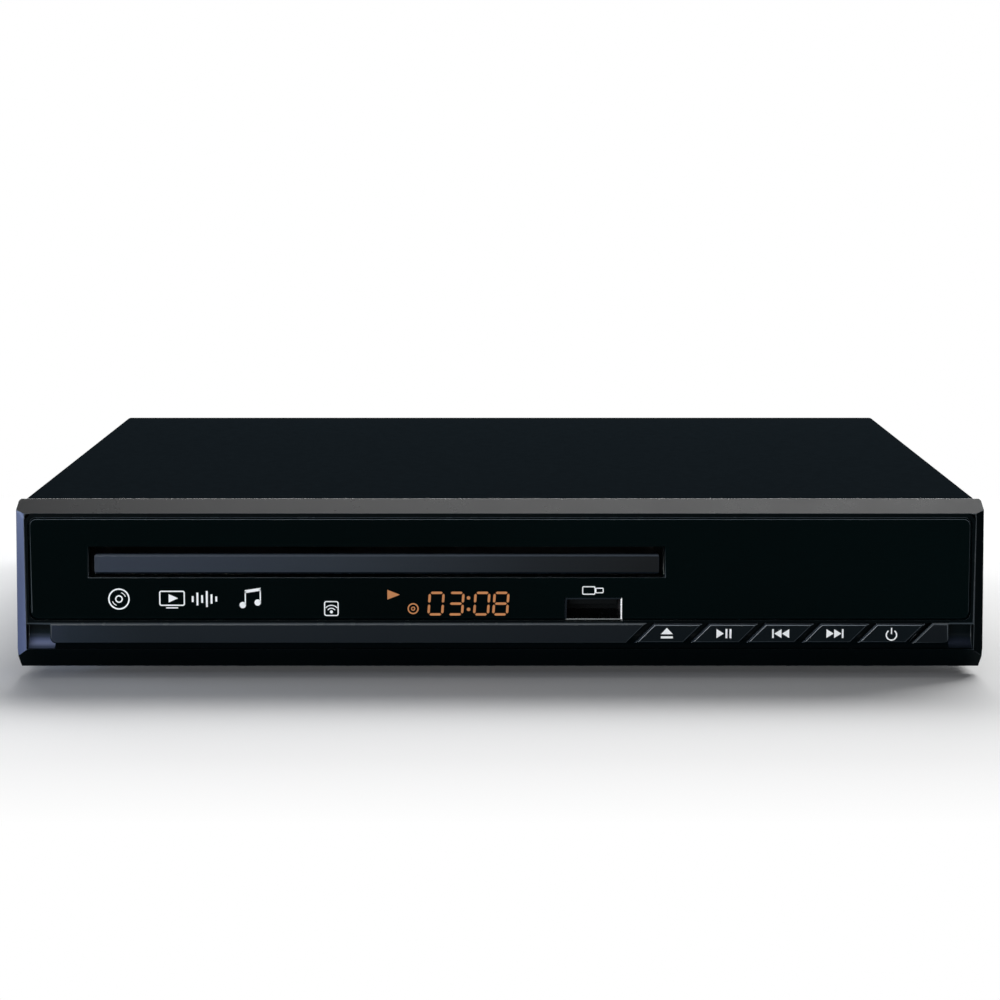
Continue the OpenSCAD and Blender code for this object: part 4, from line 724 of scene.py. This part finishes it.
def dot(x, z, radius):
    """A disc with 20 sides."""
    return [ring_point(x, z, radius, 2 * math.pi * i / 20) for i in range(20)]


def frame_outline(x0, x1, z0, z1, width, corner):
    """A rounded rectangle drawn as a line, in two halves."""
    corners = (
        (x1 - corner, z1 - corner, 0),
        (x0 + corner, z1 - corner, 90),
        (x0 + corner, z0 + corner, 180),
        (x1 - corner, z0 + corner, 270),
    )

    def outline(shrink):
        return [
            ring_point(x, z, corner - shrink, math.radians(turn + step))
            for x, z, turn in corners
            for step in range(0, 91, 15)
        ]

    outer, inner = outline(0), outline(width)
    half = len(outer) // 2
    first = outer[:half + 1] + inner[:half + 1][::-1]
    second = outer[half:] + outer[:1] + inner[:1] + inner[half:][::-1]
    return [first, second]


# A seven-segment figure: its width, half its height, the width of a segment, the space left
# where two segments meet, and how far it leans to the right for each millimetre up
FIGURE_W, FIGURE_H = 3.2, 2.55
SEGMENT_W, SEGMENT_GAP = 0.56, 0.42
SLANT = 0.07
SEGMENTS = {
    "a": (0, FIGURE_H, False),
    "b": (FIGURE_W / 2, FIGURE_H / 2, True),
    "c": (FIGURE_W / 2, -FIGURE_H / 2, True),
    "d": (0, -FIGURE_H, False),
    "e": (-FIGURE_W / 2, -FIGURE_H / 2, True),
    "f": (-FIGURE_W / 2, FIGURE_H / 2, True),
    "g": (0, 0, False),
}
LIT = {"0": "abcdef", "3": "abgcd", "8": "abcdefg"}


def segment(x, z, length, upright):
    """One pointed segment, centred on x and z."""
    h, w = length / 2, SEGMENT_W / 2
    flat = [(-h, 0), (-h + w, -w), (h - w, -w), (h, 0), (h - w, w), (-h + w, w)]
    return [(x + (b if upright else a), z + (a if upright else b)) for a, b in flat]


def figure(digit, x, z):
    """The lit segments of a digit, centred on x and z."""
    made = []
    for name in LIT[digit]:
        dx, dz, upright = SEGMENTS[name]
        length = (FIGURE_H if upright else FIGURE_W) - SEGMENT_GAP
        points = segment(x + dx, z + dz, length, upright)
        made.append([(px + (pz - z) * SLANT, pz) for px, pz in points])
    return made


# The middle of the printed signs, of the clock and of the keys' signs, above the floor
SIGN_Z, CLOCK_Z, KEY_SIGN_Z = 18.73, 17.64, 10.65

# The clock shows the time of the disc: the colon's two dots and four figures
clock = [dot(-7.35, CLOCK_Z + dz, 0.42) for dz in (-1.35, 1.35)]
for digit, x in (("0", -14.94), ("3", -10.3), ("0", -4.26), ("8", 0.2)):
    clock += figure(digit, x, CLOCK_Z)

sound_bars = [
    bar(-72.0 + i * 1.1, -71.55 + i * 1.1, SIGN_Z - h, SIGN_Z + h)
    for i, h in enumerate((0.7, 1.5, 0.9, 1.9, 1.1, 0.6))
]

LIT_SIGNS = {
    "time_figures": clock,
    "lit_play_sign": [wedge(-26.3, -23.4, 19.75, 1.15)],
    "lit_disc_sign": arc(-20.3, 16.45, 1.15, 0.3) + arc(-20.3, 16.45, 0.38, 0.22),
}
PRINTED_SIGNS = {
    "sensor_sign": (
        frame_outline(-41.1, -37.7, 14.7, 18.25, 0.26, 0.55)
        + [dot(-39.4, 15.7, 0.36)]
        + arc(-39.4, 15.5, 1.05, 0.22, 35, 145)
        + arc(-39.4, 15.5, 1.75, 0.22, 40, 140)
    ),
    "disc_sign": (
        arc(-89.0, SIGN_Z, 2.35, 0.34)
        + arc(-89.0, SIGN_Z, 0.75, 0.3)
        + arc(-89.0, SIGN_Z, 1.6, 0.18, 20, 70)
        + arc(-89.0, SIGN_Z, 1.6, 0.18, 200, 250)
    ),
    "screen_and_sound_sign": (
        frame_outline(-79.6, -73.6, 17.1, 20.7, 0.3, 0.5)
        + [wedge(-77.4, -75.2, 18.9, 1.0), bar(-78.0, -75.2, 16.5, 16.78)]
        + sound_bars
    ),
    "note_sign": [
        dot(-60.1, 17.3, 0.75),
        dot(-56.6, 17.9, 0.75),
        bar(-59.63, -59.35, 17.4, 20.6),
        bar(-56.13, -55.85, 18.0, 21.2),
        [(-59.63, 20.1), (-55.85, 20.7), (-55.85, 21.4), (-59.63, 20.8)],
    ],
    "stick_sign": (
        frame_outline(19.2, 22.3, 19.75, 21.75, 0.24, 0.35)
        + frame_outline(22.3, 24.2, 20.1, 21.4, 0.22, 0.28)
    ),
}
KEY_SIGNS = {
    "eject_sign": ("key_eject", [
        [(37.6, 10.5), (40.4, 10.5), (39.0, 12.0)],
        bar(37.6, 40.4, 9.5, 10.0),
    ]),
    "play_pause_sign": ("key_play", [
        wedge(50.6, 52.3, KEY_SIGN_Z, 1.1),
        bar(52.7, 53.15, 9.55, 11.75),
        bar(53.65, 54.1, 9.55, 11.75),
    ]),
    "previous_sign": ("key_previous", [
        bar(63.6, 64.0, 9.6, 11.7),
        wedge(65.8, 64.1, KEY_SIGN_Z, 1.05),
        wedge(67.6, 65.9, KEY_SIGN_Z, 1.05),
    ]),
    "next_sign": ("key_next", [
        bar(79.9, 80.3, 9.6, 11.7),
        wedge(78.1, 79.8, KEY_SIGN_Z, 1.05),
        wedge(76.3, 78.0, KEY_SIGN_Z, 1.05),
    ]),
    "power_sign": ("key_power", (
        arc(91.5, 10.3, 1.2, 0.3, -235, 55)
        + [bar(91.36, 91.64, 10.5, 12.0)]
    )),
}

window_face = low("fascia_window").y
for name, outlines in LIT_SIGNS.items():
    mark(name, outlines, window_face, "housing", AMBER)
for name, outlines in PRINTED_SIGNS.items():
    mark(name, outlines, window_face, "housing", PRINT)
for name, (key, outlines) in KEY_SIGNS.items():
    mark(name, outlines, low(key).y, key, PRINT)


# ---------------------------------------------------------------- studio

def area_lamp(name, place, target, size, power, colour=(1, 1, 1)):
    """A soft rectangular lamp that looks at its target. Places and sizes in metres."""
    data = bpy.data.lights.new(name, "AREA")
    data.shape = "RECTANGLE"
    data.size, data.size_y = size
    data.energy = power
    data.color = colour
    lamp = bpy.data.objects.new(name, data)
    bpy.context.scene.collection.objects.link(lamp)
    lamp.location = place
    lamp.rotation_euler = (Vector(target) - Vector(place)).to_track_quat("-Z", "Y").to_euler()


def seen_rays(tree):
    """1 for what the camera, a reflection or glass sees, 0 for the light on the object."""
    path = tree.nodes.new("ShaderNodeLightPath")
    total = path.outputs["Is Camera Ray"]
    for name in ("Is Glossy Ray", "Is Transmission Ray"):
        either = tree.nodes.new("ShaderNodeMath")
        either.operation = "MAXIMUM"
        tree.links.new(total, either.inputs[0])
        tree.links.new(path.outputs[name], either.inputs[1])
        total = either.outputs[0]
    return total


# Half the width of the floor, half the case's width and depth, and how far from the case the
# floor starts to turn white and is white, in metres
FLOOR_HALF = 40
CASE_HALF = (0.113, 0.1, 0)
WHITE_FROM, WHITE_TO = 0.02, 0.14


def studio_floor():
    """A pale sheet that keeps the object's shadow and turns white away from it."""
    h = FLOOR_HALF
    mesh = bmesh.new()
    mesh.faces.new([mesh.verts.new((x, y, 0)) for x, y in ((-h, -h), (h, -h), (h, h), (-h, h))])
    data = bpy.data.meshes.new("studio_floor")
    mesh.to_mesh(data)
    mesh.free()
    paper = Finish("studio_paper", rgb(250, 250, 250), 0.9, specular=0.0)
    paper.bump(paper.noise(1.5, 3), 0.01)
    past_case = paper.vector("SUBTRACT", paper.vector("ABSOLUTE", paper.place), CASE_HALF)
    away = paper.vector("LENGTH", paper.vector("MAXIMUM", past_case, (0, 0, 0)))
    far = paper.spread(away, 0.0, 1.0, WHITE_FROM, WHITE_TO)
    glow = paper.node("ShaderNodeEmission", {"Color": (1, 1, 1, 1), "Strength": 1.0})
    mixed = paper.node(
        "ShaderNodeMixShader",
        {
            "Fac": paper.number("MULTIPLY", seen_rays(paper.tree), far),
            1: paper.shader.outputs["BSDF"],
            2: glow.outputs["Emission"],
        },
    )
    surface = paper.tree.nodes["Material Output"].inputs["Surface"]
    paper.tree.links.new(mixed.outputs["Shader"], surface)
    data.materials.append(paper.material)
    floor = bpy.data.objects.new("studio_floor", data)
    bpy.context.scene.collection.objects.link(floor)


def studio_world(light_level):
    """A white surrounding, which lights the object at a lower level than it is seen at."""
    world = bpy.data.worlds.new("studio")
    world.use_nodes = True
    tree = world.node_tree
    background = tree.nodes["Background"]
    background.inputs["Color"].default_value = (1, 1, 1, 1)
    level = tree.nodes.new("ShaderNodeMapRange")
    level.inputs["To Min"].default_value = light_level
    level.inputs["To Max"].default_value = 1.0
    tree.links.new(seen_rays(tree), level.inputs["Value"])
    tree.links.new(level.outputs["Result"], background.inputs["Strength"])
    return world


scene = bpy.context.scene
scene.world = studio_world(0.11)
scene.view_settings.view_transform = "Standard"
studio_floor()

# Place, target, width and height, power in watts
area_lamp("overhead_rear", (0.45, 0.95, 1.05), (0, 0, 0.02), (1.8, 0.6), 24)
area_lamp("rear_low", (-0.2, 1.6, 0.6), (0, 0, 0.02), (1.6, 0.4), 17)
area_lamp("overhead", (0.15, -0.1, 1.3), (0, -0.05, 0), (0.7, 0.5), 0.8)
area_lamp("front_fill", (-0.4, -1.5, 0.12), (0, 0, 0.02), (1.2, 0.2), 13)
area_lamp("left_low", (-0.7, -0.15, 0.07), (-0.1, -0.1, 0.02), (0.5, 0.12), 1.8, (0.55, 0.7, 1.0))

# The camera's place, lens and tilt were fitted by least squares to corners of the case
CAMERA_PLACE = (0, -0.7529, 0.1281)
CAMERA_DOWN = 7.5007
CAMERA_LENS, CAMERA_SENSOR = 102.06, 36

camera = bpy.data.objects.new("camera", bpy.data.cameras.new("camera"))
scene.collection.objects.link(camera)
camera.data.lens = CAMERA_LENS
camera.data.sensor_width = CAMERA_SENSOR
camera.data.clip_start, camera.data.clip_end = 0.01, 50
camera.location = CAMERA_PLACE
camera.rotation_euler = (math.radians(90 - CAMERA_DOWN), 0, 0)
scene.camera = camera
